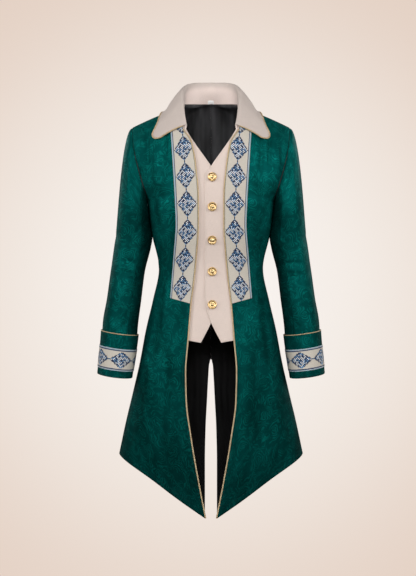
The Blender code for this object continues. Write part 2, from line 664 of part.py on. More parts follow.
def make_cuffs():
    """Cuffs over the sleeve ends, each with its woven band and the cord along its top."""
    downs = (0, CUFF_RIBBON_FROM, CUFF_RIBBON_TO, CUFF_LENGTH)
    add_pair("cuff", *cuff_cloth(downs, 0.0, COAT_WALL), "brocade")
    downs = (CUFF_RIBBON_FROM, CUFF_RIBBON_TO)
    add_pair("cuff_ribbon", *cuff_cloth(downs, RIBBON_OUT, RIBBON_WALL), "ribbon")
    path = [cuff_point(AROUND * i, -CUFF_CORD_RADIUS - CUFF_CORD_GAP) for i in range(360 // AROUND)]
    add_pair("cuff_piping", *tube(path, CUFF_CORD_RADIUS, CORD_SIDES, closed=True), "cord")


def coat_samples():
    """Points and normals of the coat around the collar, to keep the collar's leaf clear of it."""
    places = []
    for level in np.arange(-4, 4.01, 0.1):
        for run in np.arange(neck_edge_run(level), side_run(level), 4 * MM):
            places.append((level, run))
    points = np.array([body_point(level, run) for level, run in places])
    normals = np.array([body_normal(level, run) for level, run in places])
    return points, normals


def collar_seam(level):
    """The foot of the collar's stand, just inside the coat's neck edge."""
    low, high = max(level - LEVEL_STEP / 2, NECK_BACK_LEVEL), level + LEVEL_STEP / 2
    edge = body_point(level, neck_edge_run(level))
    along = body_point(high, neck_edge_run(high)) - body_point(low, neck_edge_run(low))
    inward = unit(np.cross(along, body_normal(level, neck_edge_run(level))))
    return edge + inward * np.interp(level, *zip(*COLLAR_INSET))


def collar_section(station, coat):
    """Points of the collar's middle at one station: up the stand, over the fold, down the leaf."""
    values = [curve(station) for curve in COLLAR_CURVES]
    level = float(np.interp(station, [row[0] for row in COLLAR], [row[1] for row in COLLAR]))
    fold, edge = np.array(values[1:4]), np.array(values[4:7])
    roll, turn = values[7] * MM, math.radians(values[8])
    edge = edge + unit(fold - edge) * COLLAR_EDGE_ROOM
    seam = collar_seam(level)
    up = unit(fold - seam)
    out = edge - fold
    out = unit(out - up * np.dot(out, up))
    points = [seam, (seam + fold) / 2, fold]
    for step in range(1, ROLL_STEPS + 1):
        bend = turn * step / ROLL_STEPS
        points.append(fold + (out * (1 - math.cos(bend)) + up * math.sin(bend)) * roll)
    start = points[-1]
    leave = out * math.sin(turn) + up * math.cos(turn)
    guide = start + leave * LEAF_BEND * np.linalg.norm(edge - start)
    for share in LEAF_SHARES:
        points.append(start * (1 - share) ** 2 + guide * 2 * share * (1 - share) + edge * share ** 2)
    coat_points, coat_normals = coat
    leaf = len(points) - len(LEAF_SHARES)
    for i in range(leaf, len(points)):
        for _ in range(2):
            far = np.linalg.norm(coat_points - points[i], axis=1)
            near = far < far.min() + COAT_NEAR
            height = np.min(np.sum((points[i] - coat_points[near]) * coat_normals[near], axis=1))
            away = unit(coat_normals[near].sum(axis=0))
            points[i] = points[i] + away * max(0.0, COLLAR_LIFT - height)
    return points


def collar_grid():
    """The collar's middle surface over all stations, right side first, and its normals."""
    coat = coat_samples()
    half = [collar_section(station, coat) for station in COLLAR_STATIONS]
    left = np.array(half)
    left[-1, :, 0] = 0.0
    right = left[:-1] * (-1, 1, 1)
    grid = np.concatenate([right, left[::-1]])
    return grid, grid_normals(grid)


def grid_normals(grid):
    """Normals of a grid of points: the mean of the faces round each, by their size."""
    normals = np.zeros_like(grid)
    a, b, c, d = grid[:-1, :-1], grid[1:, :-1], grid[1:, 1:], grid[:-1, 1:]
    first = np.cross(b - a, c - a)
    second = np.cross(c - a, d - a)
    normals[:-1, :-1] += first + second
    normals[1:, :-1] += first
    normals[1:, 1:] += first + second
    normals[:-1, 1:] += second
    return unit(normals)


def make_collar():
    """The collar and the cord round its leaf. Gives the collar's middle surface."""
    grid, normals = collar_grid()
    add_solid("collar", *cloth(grid, normals, COLLAR_WALL), "cream")
    first = grid.shape[1] - len(LEAF_SHARES)
    around = [(grid.shape[0] - 1, k) for k in range(first, grid.shape[1])]
    around += [(s, grid.shape[1] - 1) for s in range(grid.shape[0] - 2, -1, -1)]
    around += [(0, k) for k in range(grid.shape[1] - 2, first - 1, -1)]
    edge = np.array([grid[place] for place in around])
    path = beside(edge, np.array([normals[place] for place in around]), CORD_RADIUS + CORD_GAP)
    add_solid("collar_piping", *tube(path, CORD_RADIUS, CORD_SIDES), "cord")
    return grid


def make_label(grid):
    """A bare label on the inside of the collar's stand, at the centre back."""
    centre = len(COLLAR_STATIONS) - 1
    half_width, height, wall = LABEL_SIZE[0] / 2, LABEL_SIZE[1], LABEL_SIZE[2]
    stand = [grid[centre + step, 0] for step in (-1, 0, 1)]
    tops = [grid[centre + step, 2] for step in (-1, 0, 1)]
    share = half_width / np.linalg.norm(stand[0] - stand[1])
    columns = []
    for side in (0, 1, 2):
        low = stand[1] + (stand[side] - stand[1]) * share
        high = tops[1] + (tops[side] - tops[1]) * share
        columns.append((low, unit(high - low), np.linalg.norm(high - low)))
    inward = unit(np.cross(columns[1][1], columns[0][0] - columns[2][0]))
    out = COLLAR_WALL / 2 + CORD_GAP + wall / 2
    rows = [[low + up * (length * LABEL_SHARE + rise) + inward * out for low, up, length in columns]
            for rise in (height, 0.0)]
    middle = np.array(rows)
    normals = np.broadcast_to(inward, middle.shape)
    add_solid("label", *cloth(middle, normals, wall), "label")


def main():
    """Builds the whole coat."""
    for old in list(bpy.data.objects):
        bpy.data.objects.remove(old, do_unlink=True)
    make_fronts()
    make_backs()
    make_front_ribbons()
    make_front_piping()
    make_vest()
    make_buttons()
    make_sleeves()
    make_cuffs()
    make_label(make_collar())


if __name__ == "__main__":
    main()
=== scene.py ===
"""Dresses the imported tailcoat: its cloth, bands, cords, buttons and stitching, and the studio round it.

Metres, +Z up. The coat faces -Y, and +X is the wearer's left. The origin lies between the shoulders.

The body is one surface. A level runs over the shoulder: 0 is the shoulder seam, 1 to 14 go down the
front, -1 to -14 go down the back. On each level, a place is its run, the distance along the cloth from
the middle of the body. Every panel, band and cord lies on this surface, moved out or in.
"""

import math

import bpy
import numpy as np
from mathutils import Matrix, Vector


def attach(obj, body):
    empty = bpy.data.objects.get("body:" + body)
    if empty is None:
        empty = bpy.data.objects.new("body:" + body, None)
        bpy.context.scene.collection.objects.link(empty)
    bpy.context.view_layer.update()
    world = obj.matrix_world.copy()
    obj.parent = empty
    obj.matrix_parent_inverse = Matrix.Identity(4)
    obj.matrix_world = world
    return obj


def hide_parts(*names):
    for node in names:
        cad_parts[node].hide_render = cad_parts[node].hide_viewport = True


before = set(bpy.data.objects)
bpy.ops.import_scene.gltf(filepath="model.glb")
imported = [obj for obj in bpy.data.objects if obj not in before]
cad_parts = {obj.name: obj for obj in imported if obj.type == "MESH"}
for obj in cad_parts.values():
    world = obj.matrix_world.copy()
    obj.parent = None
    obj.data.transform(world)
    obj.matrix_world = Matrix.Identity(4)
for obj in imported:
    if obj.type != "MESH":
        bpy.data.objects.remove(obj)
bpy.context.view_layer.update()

bl_info = {
    "name": "Tailcoat",
    "version": (1, 0, 0),
    "blender": (4, 5, 0),
    "location": "3D View > Sidebar > Tailcoat",
    "description": "Makes a brocade tailcoat with its woven bands, cords, buttons and stitching",
    "category": "Add Mesh",
}

MM = 0.001
BODY_NAME = "root"
CLOTH_UV = "cloth"

# Cloth
COAT_WALL = 2.0 * MM
VEST_WALL = 1.5 * MM
LINING_WALL = 1.0 * MM
RIBBON_WALL = 0.8 * MM
COLLAR_WALL = 2.2 * MM
SEAM = 0.05 * MM                  # each panel stops this far from its seam line
SKIN_GAP = 0.5 * MM               # air between two layers of cloth
CORD_RADIUS = 1.6 * MM
CUFF_CORD_RADIUS = 1.3 * MM
CORD_FULLNESS = 1.22              # how much fuller the twisted cords are than their solids
CORD_GAP = 0.1 * MM               # from a cord to the edge it is sewn to
RIM = 0.7 * MM                    # the stretch over which a wall's edge rounds off
RIM_WALL = 0.4                    # the share of the wall left at its edge

# How far each layer's middle lies outside the coat wall's middle
RIBBON_OUT = COAT_WALL / 2 + 0.15 * MM + RIBBON_WALL / 2
LINING_OUT = -(COAT_WALL / 2 + 0.35 * MM + LINING_WALL / 2)
VEST_LEFT_OUT = -(COAT_WALL / 2 + 0.9 * MM + VEST_WALL / 2)
VEST_OUTS = (VEST_LEFT_OUT, VEST_LEFT_OUT - VEST_WALL - 0.8 * MM)

# How fine the meshes are
COLLAR_FINE_ALONG = 5
COLLAR_FINE_ACROSS = 4
CORD_STEPS = 7                    # steps of the mesh for each twist of a cord
CORD_FINE_SIDES = 12
CORD_STRANDS = 3
CORD_PLIES = 4                    # in each strand
CORD_RELIEF = 0.16                # depth of the grooves between strands, as a share of the radius

# The body's rows. The middle of a row is (0, centre_y, centre_z), and its outer end is the side seam,
# or the armhole above level 6. A wrap of 1 is a quarter of an oval, and 0.5 is half of that. An oval
# of 2 is a true one, and above 2 it is squarer.
# level, centre_y, centre_z, side_x, side_y, side_z, wrap, oval
BODY = (
    (-14, 0.142, -1.1050, 0.2420, 0.000, -0.914, 1.00, 2.30),
    (-13, 0.135, -0.9600, 0.2244, 0.000, -0.832, 1.00, 2.30),
    (-12, 0.127, -0.8145, 0.2052, 0.000, -0.751, 1.00, 2.30),
    (-11, 0.118, -0.6690, 0.1865, 0.000, -0.669, 1.00, 2.30),
    (-10, 0.109, -0.5900, 0.1717, 0.000, -0.590, 1.00, 2.30),
    (-9, 0.097, -0.5100, 0.1530, 0.000, -0.510, 1.00, 2.30),
    (-8, 0.085, -0.4240, 0.1368, 0.000, -0.424, 1.00, 2.35),
    (-7, 0.097, -0.3350, 0.1553, 0.000, -0.335, 1.00, 2.50),
    (-6, 0.109, -0.2570, 0.1656, 0.000, -0.257, 1.00, 2.70),
    (-5, 0.113, -0.1900, 0.1690, 0.038, -0.240, 0.93, 2.30),
    (-4, 0.109, -0.1150, 0.1800, 0.074, -0.203, 0.78, 2.30),
    (-3, 0.097, -0.0450, 0.1900, 0.074, -0.162, 0.65, 2.30),
    (-2, 0.075, 0.0153, 0.1990, 0.060, -0.122, 0.58, 2.30),
    (-1, 0.045, 0.0200, 0.2060, 0.036, -0.083, 0.52, 2.30),
    (0, -0.002, 0.0160, 0.2080, 0.004, -0.053, 0.50, 2.30),
    (1, -0.052, -0.0120, 0.2065, -0.030, -0.085, 0.52, 2.30),
    (2, -0.086, -0.0600, 0.2000, -0.052, -0.125, 0.58, 2.30),
    (3, -0.103, -0.1150, 0.1900, -0.064, -0.165, 0.65, 2.30),
    (4, -0.114, -0.1700, 0.1780, -0.064, -0.205, 0.78, 2.30),
    (5, -0.120, -0.2200, 0.1680, -0.034, -0.240, 0.93, 2.30),
    (6, -0.121, -0.2570, 0.1656, 0.000, -0.257, 1.00, 2.70),
    (7, -0.116, -0.3350, 0.1553, 0.000, -0.335, 1.00, 2.50),
    (8, -0.105, -0.4240, 0.1368, 0.000, -0.424, 1.00, 2.35),
    (9, -0.109, -0.5100, 0.1530, 0.000, -0.510, 1.00, 2.30),
    (10, -0.117, -0.5900, 0.1717, 0.000, -0.590, 1.00, 2.30),
    (11, -0.124, -0.6690, 0.1865, 0.000, -0.669, 1.00, 2.30),
    (12, -0.130, -0.8066, 0.2052, 0.000, -0.751, 1.00, 2.30),
    (13, -0.135, -0.9442, 0.2244, 0.000, -0.832, 1.00, 2.30),
    (14, -0.139, -1.0817, 0.2420, 0.000, -0.914, 1.00, 2.30),
)
ROW_SAMPLES = 257
LEVELS_PER_METRE = 8              # down the skirt, about
LEVEL_STEP = 0.02                 # for slopes, along and across the rows
RUN_STEP = 1.0 * MM
FLUTE_FROM = 8.5                  # the skirt starts to flute below this level
FLUTE_DEPTH = 4.5 * MM            # at the hem
FLUTE_WAVES = 1.5                 # over each quarter of the skirt

# The coat's front edge, and the outer edge of the ribbon sewn along it
# height, x
FRONT_EDGE = (
    (-1.0900, 0.0120), (-1.0614, 0.0176), (-0.9709, 0.0352), (-0.8649, 0.0533), (-0.7666, 0.0659),
    (-0.6942, 0.0675), (-0.6140, 0.0615), (-0.5390, 0.0556), (-0.5158, 0.0535), (-0.4563, 0.0460),
    (-0.3839, 0.0393), (-0.3115, 0.0347), (-0.2391, 0.0349), (-0.1667, 0.0409), (-0.0943, 0.0538),
    (-0.0607, 0.0737), (-0.0300, 0.0755), (0.0200, 0.0730),
)
RIBBON_EDGE = (
    (-0.5400, 0.1100), (-0.5029, 0.1062), (-0.3839, 0.0966), (-0.3115, 0.0915), (-0.2443, 0.0940),
    (-0.1563, 0.0994), (-0.0865, 0.1042), (-0.0300, 0.1090), (0.0200, 0.1130),
)
RIBBON_CUT_LEVELS = (9.09, 9.00, 8.92)   # its slanted lower end, from the front edge outwards

# The neck of the back, an oval in plan, and the centre back: a seam, then a vent
NECK_HALF_WIDTH = 0.073
NECK_DEPTH = 0.075
NECK_BACK_LEVEL = -2
# height, x
VENT_EDGE = (
    (-1.1200, 0.0163), (-0.9500, 0.0163), (-0.8600, 0.0145), (-0.7800, 0.0105), (-0.7200, 0.0073),
    (-0.6820, 0.0045), (-0.6690, 0.0002), (0.0200, 0.0002),
)

# The false waistcoat's inner edge: neckline, placket and the point below
# height, x
VEST_EDGE = (
    (-0.6400, 0.0375), (-0.6218, 0.0282), (-0.5667, 0.0000), (-0.5400, -0.0100), (-0.5000, -0.0168),
    (-0.1865, -0.0168), (-0.1600, 0.0000), (-0.0555, 0.0675), (-0.0300, 0.0765), (0.0200, 0.0740),
)
VEST_BOTTOM_LEVEL = 10.38

# Buttons down the placket
BUTTON_X = 0.003
BUTTON_HEIGHTS = (-0.1892, -0.2662, -0.3529, -0.4343, -0.5197)
BUTTON_RADIUS = 11.5 * MM

# Sleeve rings, where the ring is an oval
# height, centre_x, centre_y, half_width, half_depth
SLEEVE = (
    (-0.2850, 0.2056, 0.004, 0.0410, 0.0740),
    (-0.3150, 0.2047, 0.006, 0.0443, 0.0695),
    (-0.3410, 0.2038, 0.007, 0.0470, 0.0665),
    (-0.3600, 0.2070, 0.008, 0.0470, 0.0650),
    (-0.4300, 0.2205, 0.008, 0.0437, 0.0615),
    (-0.5090, 0.2306, 0.000, 0.0441, 0.0580),
    (-0.5724, 0.2396, -0.010, 0.0454, 0.0555),
    (-0.6000, 0.2414, -0.014, 0.0450, 0.0550),
    (-0.7050, 0.2532, -0.030, 0.0427, 0.0520),
)
SLEEVE_TILT = 7.6                 # degrees, outer side up
WRIST_DROP = 4.0                  # degrees, front side down, at the wrist
CAP_REACH_TOP = 0.070
CAP_REACH_UNDER = 0.020
CAP_END_TOP = 0.200
CAP_END_UNDER = 0.030
SLEEVE_SEAM = 120                 # degrees round from the top of the sleeve
SLEEVE_SEAM_GAP = 0.25            # degrees from the seam to each piece's edge
ARMHOLE_CLEAR = 1.5 * MM          # from the body's side to the sleeve's start, halfway down
ARMHOLE_SWING = 1.1 * MM          # less than that at the top, more under the arm

# Cuffs
CUFF_TOP = -0.596
CUFF_LENGTH = 0.111
CUFF_CLEAR_TOP = 3.9 * MM         # from the sleeve's middle to the cuff's middle
CUFF_CLEAR_BOTTOM = 2.7 * MM
CUFF_RIBBON_FROM = 0.036
CUFF_RIBBON_TO = 0.093
CUFF_CORD_GAP = 0.3 * MM

# Collar, half of it, from its front end to the centre back. The edge is the leaf's outline with its
# cord. The roll is the fold's radius in mm, and the turn is how far round the fold goes, in degrees.
# station, level of the neck edge, fold_x, fold_y, fold_z, edge_x, edge_y, edge_z, roll, turn
COLLAR = (
    (0.00, 1.90, 0.0635, -0.0810, -0.0545, 0.1330, -0.0720, -0.0862, 2.5, 112),
    (0.25, 1.80, 0.0648, -0.0780, -0.0490, 0.1440, -0.0690, -0.0884, 2.7, 116),
    (0.50, 1.70, 0.0660, -0.0755, -0.0430, 0.1505, -0.0660, -0.0860, 3.0, 120),
    (1.00, 1.50, 0.0680, -0.0690, -0.0320, 0.1537, -0.0620, -0.0785, 3.5, 126),
    (1.50, 1.22, 0.0702, -0.0570, -0.0140, 0.1502, -0.0580, -0.0660, 4.0, 129),
    (2.00, 0.90, 0.0718, -0.0430, 0.0060, 0.1443, -0.0500, -0.0519, 4.5, 130),
    (2.50, 0.45, 0.0716, -0.0240, 0.0235, 0.1373, -0.0340, -0.0380, 4.8, 129),
    (3.00, 0.00, 0.0700, -0.0050, 0.0400, 0.1295, -0.0120, -0.0235, 5.0, 128),
    (4.00, -0.90, 0.0590, 0.0360, 0.0600, 0.1040, 0.0580, -0.0150, 5.0, 138),
    (5.00, -1.60, 0.0340, 0.0580, 0.0675, 0.0570, 0.0880, -0.0110, 4.5, 152),
    (6.00, -2.00, 0.0000, 0.0660, 0.0690, 0.0000, 0.0975, -0.0120, 4.0, 160),
)
COLLAR_STATIONS = (0, 0.12, 0.25, 0.5, 0.75, 1, 1.5, 2, 2.5, 3, 3.5, 4, 4.5, 5, 5.5, 6)
# level of the neck edge, how far inside it the stand's middle is: wide at the front, beside the cord
COLLAR_INSET = ((-2.0, 2.2 * MM), (1.45, 2.2 * MM), (1.75, 5.3 * MM), (2.0, 5.3 * MM))
COLLAR_LIFT = 6.9 * MM            # the leaf's middle keeps at least this far out of the coat wall
COAT_NEAR = 4.0 * MM              # the coat counts as near a point of the leaf within this
COLLAR_EDGE_ROOM = 2 * CORD_RADIUS + CORD_GAP
ROLL_STEPS = 4
LEAF_BEND = 0.35                  # how long the fold's direction lasts in the leaf
LEAF_SHARES = (0.15, 0.32, 0.5, 0.68, 0.85, 1.0)


SEAM_ROOM = 0.3 * MM              # the centre back counts as sewn up to here
SEAM_CLOSE = 0.01 * MM

# How far the edges of one layer stay inside those of the layer under it
RIBBON_INSET = 0.6 * MM
RIBBON_SIDE_INSET = 0.4 * MM
LINING_INSET = 2.0 * MM

# Label inside the collar's stand
LABEL_SIZE = (18 * MM, 10 * MM, 0.6 * MM)
LABEL_SHARE = 0.03                # up the stand

# Creases and folds of the body, drawn as lines on the front or back as seen. Depth is out of the cloth
# when above 0 and into it when below. A side of 1 is the wearer's left, -1 the right and 0 both.
# side, x, height, x, height, half_width, depth, in mm but for the side
FRONT_FOLDS = (
    (-1, 168, -52, 166, -170, 7, -5.6),
    (-1, 142, -85, 142, -225, 12, 5.0),
    (-1, 119, -60, 120, -165, 8, -5.4),
    (-1, 158, -235, 128, -345, 10, -2.4),
    (-1, 140, -225, 118, -330, 10, 2.0),
    (-1, 150, -345, 112, -420, 8, -1.8),
    (-1, 138, -400, 118, -455, 9, 1.5),
    (1, 134, -60, 131, -185, 7, -5.4),
    (1, 113, -90, 113, -200, 9, 4.2),
    (1, 172, -95, 176, -200, 9, 4.6),
    (1, 155, -62, 152, -170, 7, -4.8),
    (1, 160, -225, 131, -330, 10, -2.5),
    (1, 141, -215, 122, -320, 9, 1.8),
    (1, 148, -335, 110, -405, 8, -2.0),
    (1, 134, -395, 112, -450, 9, 1.7),
    (0, 112, -455, 128, -640, 14, 2.7),
    (0, 134, -480, 158, -700, 13, -3.0),
    (0, 92, -560, 90, -860, 17, 3.3),
    (0, 118, -620, 132, -930, 17, -3.6),
    (0, 152, -660, 178, -900, 16, 3.6),
    (-1, 72, -700, 66, -900, 12, -2.1),
    (1, 70, -640, 68, -830, 12, -2.2),
    (0, 196, -780, 214, -900, 12, -2.4),
    (0, 60, -830, 38, -1010, 10, 1.8),
)
BACK_FOLDS = (
    (0, 40, -30, 60, -150, 13, 1.6),
    (0, 78, -50, 96, -190, 14, -1.8),
    (0, 128, -90, 120, -235, 11, 1.5),
    (-1, 150, -150, 128, -260, 9, -1.4),
    (1, 147, -130, 132, -275, 9, -1.5),
    (-1, 150, -300, 60, -372, 10, -1.8),
    (-1, 142, -335, 52, -398, 9, 1.3),
    (1, 148, -320, 70, -382, 10, -1.7),
    (1, 140, -360, 48, -415, 9, 1.4),
    (0, 118, -395, 30, -440, 8, -1.3),
    (0, 52, -455, 62, -700, 15, 2.0),
    (0, 92, -480, 112, -820, 17, -2.4),
    (0, 128, -560, 160, -880, 17, 2.4),
    (-1, 30, -640, 34, -900, 13, -1.6),
    (1, 32, -600, 38, -860, 13, -1.7),
    (0, 178, -700, 200, -880, 13, -1.8),
    (0, 66, -800, 60, -1010, 14, 1.8),
)
LINING_FOLDS = (
    (-1, 8, -20, 14, -190, 5, 1.3),
    (-1, 24, -30, 20, -220, 6, -1.4),
    (-1, 44, -40, 36, -200, 7, 1.3),
    (1, 12, -25, 6, -210, 5, -1.3),
    (1, 30, -30, 34, -180, 6, 1.4),
    (1, 50, -60, 40, -230, 7, -1.2),
    (0, 22, -560, 26, -820, 6, 1.4),
    (0, 38, -600, 40, -900, 7, -1.5),
    (-1, 54, -640, 48, -940, 7, 1.3),
    (1, 50, -610, 46, -880, 6, 1.4),
    (0, 30, -860, 24, -1050, 6, 1.1),
    (0, 80, -560, 100, -840, 12, 1.6),
)
# Puckers along the front edge of the tails
PUCKER_PITCH = 11 * MM
PUCKER_REACH = 13 * MM
PUCKER_DEPTH = 0.4 * MM
PUCKER_TOP = -0.66
VENT_LEAST = 2.2 * MM             # from the middle to the vent's edge, at its top
# The cloth dips where the sleeves are sewn in
ARMHOLE_DIP = 1.2 * MM
ARMHOLE_DIP_WIDTH = 4.5 * MM
SLEEVE_DIP = 0.5 * MM
SLEEVE_DIP_WIDTH = 4              # degrees

# Sleeve creases. Angle 0 is the outer side, 90 the front, 180 the inner side and -90 the back.
# side, angle, height, angle, height, half_width, depth, in mm but for the side and the degrees
SLEEVE_FOLDS = (
    (0, 62, -95, 70, -250, 9, 1.3),
    (0, 84, -120, 96, -260, 7, -1.4),
    (0, 30, -80, 44, -290, 12, 1.2),
    (0, 150, -290, 84, -345, 8, -1.7),
    (0, 148, -318, 96, -372, 7, 1.3),
    (0, 160, -350, 108, -392, 7, -1.4),
    (-1, 150, -418, 62, -402, 7, -1.6),
    (-1, 146, -436, 58, -421, 7, 1.5),
    (-1, 140, -458, 84, -448, 6, -1.2),
    (1, 150, -410, 52, -412, 7, -1.7),
    (1, 148, -428, 54, -432, 7, 1.6),
    (1, 142, -452, 78, -446, 6, -1.2),
    (0, 120, -480, 96, -560, 9, 1.2),
    (0, 64, -470, 74, -580, 10, -1.2),
    (0, 34, -430, 40, -570, 11, 1.2),
    (0, 130, -555, 92, -585, 7, -1.1),
    (0, -60, -400, -130, -440, 9, -1.8),
    (0, -50, -425, -140, -462, 9, 1.6),
    (0, -76, -452, -128, -490, 8, -1.4),
    (0, -100, -150, -84, -320, 11, -1.4),
    (0, -64, -120, -56, -300, 12, 1.3),
    (0, -70, -500, -96, -585, 10, 1.2),
    (0, 8, -330, 14, -560, 11, -1.0),
)
SLEEVE_RADIUS = 0.052             # turns a sleeve's degrees into a width for its creases
INNER_SLEEVE = (125, 150)         # degrees from the outer side, where the sleeve lies against the body
INNER_SLEEVE_HEIGHTS = (-0.38, -0.35)
# Under the arm the sleeve lies against the body
TOUCH_REACH = 1.0 * MM
TOUCH_WIDTH = 24                  # degrees
TOUCH_TOP = (0.250, 0.262)        # depths below the origin
TOUCH_BOTTOM = (-0.350, -0.340)

# The body's and the sleeves' own shape, past what their rows say
LAST_LEVEL = 14
CHEST_SWEEP = 1.5                 # how late a row drops on its way out to the side: 1 is evenly
CHEST_LEVELS = 8                  # rows nearer the shoulder than this have that sweep
FLUTE_GROWTH = 1.3                # how the flutes deepen down the skirt: 1 is evenly
PAST_SIDE = 0.02                  # the rows go on this far past the side seam, for slopes
VENT_LEVEL = -11                  # the vent opens here
RIBBON_TOP_LEVEL = 1.3            # the front bands start here, under the collar
RIBBON_PAST = 9.2                 # below this level no band lies on the front
FRONT_CORD_LEVEL = 1.78           # the front cords start here
LINING_DEEPER = 2.2               # how much deeper the lining's wrinkles are than in their table
CAP_LEAN = 0.35                   # how steeply the sleeve's cap leaves the shoulder
SLEEVE_DIP_END = (110, 140)       # degrees over which the dip at the armhole fades out
# Distances and levels over which folds fade out towards seams and edges
SEAM_FADE = 12 * MM
BAND_FADE = 8 * MM
BACK_FADE = 15 * MM
LINING_FADE = 10 * MM
SHOULDER_FADE = 0.8               # levels
PUCKER_FADE = 50 * MM
UNDERARM_LEVEL = 5.4              # the dip along the armhole ends here
# How the puckers drift in and out of step, and how their depth swells: amount, radians to the metre
PUCKER_DRIFT = (2.2, 31)
PUCKER_SWELL = (0.4, 47)
# The part of the coat that the collar's leaf is kept clear of, and how finely it is looked at
COAT_NEAR_LEVELS = 4
COAT_LEVEL_STEP = 0.1
COAT_RUN_STEP = 4 * MM
ANGLE_STEP = 0.5                  # degrees, for slopes round a sleeve
SLEEVE_STEP = 0.02                # rows, for slopes along a sleeve
BAND_BULGE = 0.3 * MM             # of a band between its stitched edges
VEST_EASE = 0.35 * MM             # how far the buttons pull the waistcoat in
VEST_EASE_HEIGHT = 13 * MM
VEST_EASE_WIDTH = 50 * MM
VEST_SLOPE = 0.14                 # levels by which the waistcoat's lower edge rises towards the side
VEST_WIDTH = 0.06                 # about, for the rims of its edges

SIDES = (("left", 1), ("right", -1))

# Meshes: rows and columns of each kind of sheet
FRONT_MESH = (400, 56)
BACK_MESH = (300, 56)
LINING_MESH = (200, 34)
VEST_MESH = (180, 26)
RIBBON_MESH = (260, 20)
SLEEVE_ROWS = 210
FIRST_LEVEL = 0.003               # half the gap between front and back at the shoulder
# Where the pattern's place starts on the fronts and backs, the sleeves and the cuffs, so that no two match
FRONT_PLACE = 2.0
SLEEVE_PLACE = 5.0
CUFF_PLACE = 9.0
# kind, first and last angle, columns, width, look
SLEEVE_PIECES = (
    ("upper", SLEEVE_SEAM_GAP - SLEEVE_SEAM, SLEEVE_SEAM - SLEEVE_SEAM_GAP, 88, 0.25, "brocade"),
    ("under", SLEEVE_SEAM + SLEEVE_SEAM_GAP, 360 - SLEEVE_SEAM - SLEEVE_SEAM_GAP, 46, 0.10, "brocade_under_painted_shade"),
)
CUFF_SEAM_ANGLE = -110            # degrees round the sleeve
CUFF_DIAMOND_ANGLE = 107          # degrees round the sleeve, 90 is its front
# piece, node, slot, first and last distance below the cuff's top, mesh, out, wall,
# outer look, inner look, start
CUFF_PIECES = (
    ("cuff_cloth", "cuff", "brocade", 0.0, CUFF_LENGTH, (40, 120), 0.0, COAT_WALL, "brocade", "lining",
     CUFF_SEAM_ANGLE),
    ("cuff_band", "cuff_ribbon", "ribbon", CUFF_RIBBON_FROM, CUFF_RIBBON_TO, (20, 120), RIBBON_OUT,
     RIBBON_WALL, "cuff_band", "band_back", CUFF_DIAMOND_ANGLE),
)
CORD_START = (0.3, 1.0, 0.2)      # any direction that no cord runs in
CORD_GROOVE = 0.7                 # how narrow the grooves between strands are: less is narrower

# Buttons: share of the radius, height in mm, from the shank to the boss in the middle
BUTTON_SPIN = (
    (0.80, 0.0), (0.93, 0.3), (1.00, 1.2), (1.03, 2.4), (1.02, 3.4), (0.98, 4.0), (0.92, 4.25), (0.86, 4.1),
    (0.80, 3.6), (0.73, 2.9), (0.65, 2.4), (0.57, 2.1), (0.50, 2.05), (0.45, 2.3), (0.41, 3.0), (0.36, 3.8),
    (0.30, 4.5), (0.23, 5.1), (0.16, 5.5), (0.08, 5.75),
)
BUTTON_FINE_SIDES = 48
BUTTON_TOP = 5.8 * MM

# Tapes over the armhole seams
TAPE_STEP = 2                     # degrees
TAPE_REACH = 8 * MM
TAPE_OUT = 2.9 * MM               # from the middle of the coat's wall to the middle of the tape
TAPE_WALL = 0.4 * MM
TAPE_UNDER = (135, 172)           # degrees over which the tape turns down inside the body
TAPE_NEAR = 0.03                  # rows from the sleeve's start to where its direction is taken
TAPE_RADIUS = 0.1                 # turns the tape's degrees into a width for its pattern

# The facing inside the collar's stand, and its binding
PIXEL = 0.00265                   # metres at the coat for one pixel of the photo
NECK_LINE = 183.6 * PIXEL         # height of the facing's edge over the camera, seen at the coat
NECK_FACING_FRONT = 0.004         # the facing starts behind the shoulder seam
NECK_FACING_LEAST = 0.8 * MM
NECK_FACING_UNDER = 2.5 * MM
NECK_BINDING = 3.2 * MM
# piece, first and last line, rows, gap, wall, look, slot
NECK_STRIPS = (
    ("neck_facing", "under", "line", 3, 0.35 * MM, 0.4 * MM, "lining", "lining"),
    ("neck_tape", "line", "over", 4, 0.45 * MM, 0.5 * MM, "binding", "cream"),
)
LABEL_ROWS = (1.0, 0.6, 0.3, 0.0)   # shares of the label's height

# Stitches
LINE_POINTS = 260
STITCH_LENGTH = 2.4 * MM
STITCH_THICKNESS = 0.6 * MM
STITCH_SINK = 0.05 * MM           # from the cloth's face to the middle of a stitch
VEST_SEWN_SHARES = (0.04, 0.95)   # of the waistcoat's edge, above its row and along it
# From an edge to the row beside it
BAND_SEWN = 1.2 * MM
BAND_SEWN_SHORT = 0.03            # levels by which the band's rows stop before its cut end
VEST_SEWN = 4 * MM
EDGE_SEWN = 6 * MM
CUFF_SEWN = 5 * MM
# Levels where the rows along the coat's edges start, and the level of the hem's row
FRONT_SEWN_FROM = 9.3
VENT_SEWN_FROM = 10.4
HEM_SEWN = 13.88

# Pattern places on the woven bands
DIAMOND_PITCH = 0.0736
DIAMOND_HALF_SHORT = 0.0256
DIAMOND_HALF_LONG = 0.0356
DIAMOND_CENTRE = 0.0318           # from the band's outer edge
LAST_DIAMOND_HEIGHT = -0.4767
CUFF_DIAMONDS = 5
CUFF_DIAMOND_HALF_SHORT = 0.0216
CUFF_DIAMOND_HALF_LONG = 0.0325
DOT_RADIUS = 1.5 * MM
TWILL_PITCH = 2.6 * MM
# place across the band, half width, dark
FRONT_STRIPES = ((0.0017, 0.0011, False), (0.0047, 0.0009, True))
CUFF_STRIPES = (
    (0.0012, 0.0009, False), (0.0044, 0.0014, True), (0.0526, 0.0014, True), (0.0558, 0.0009, False),
)

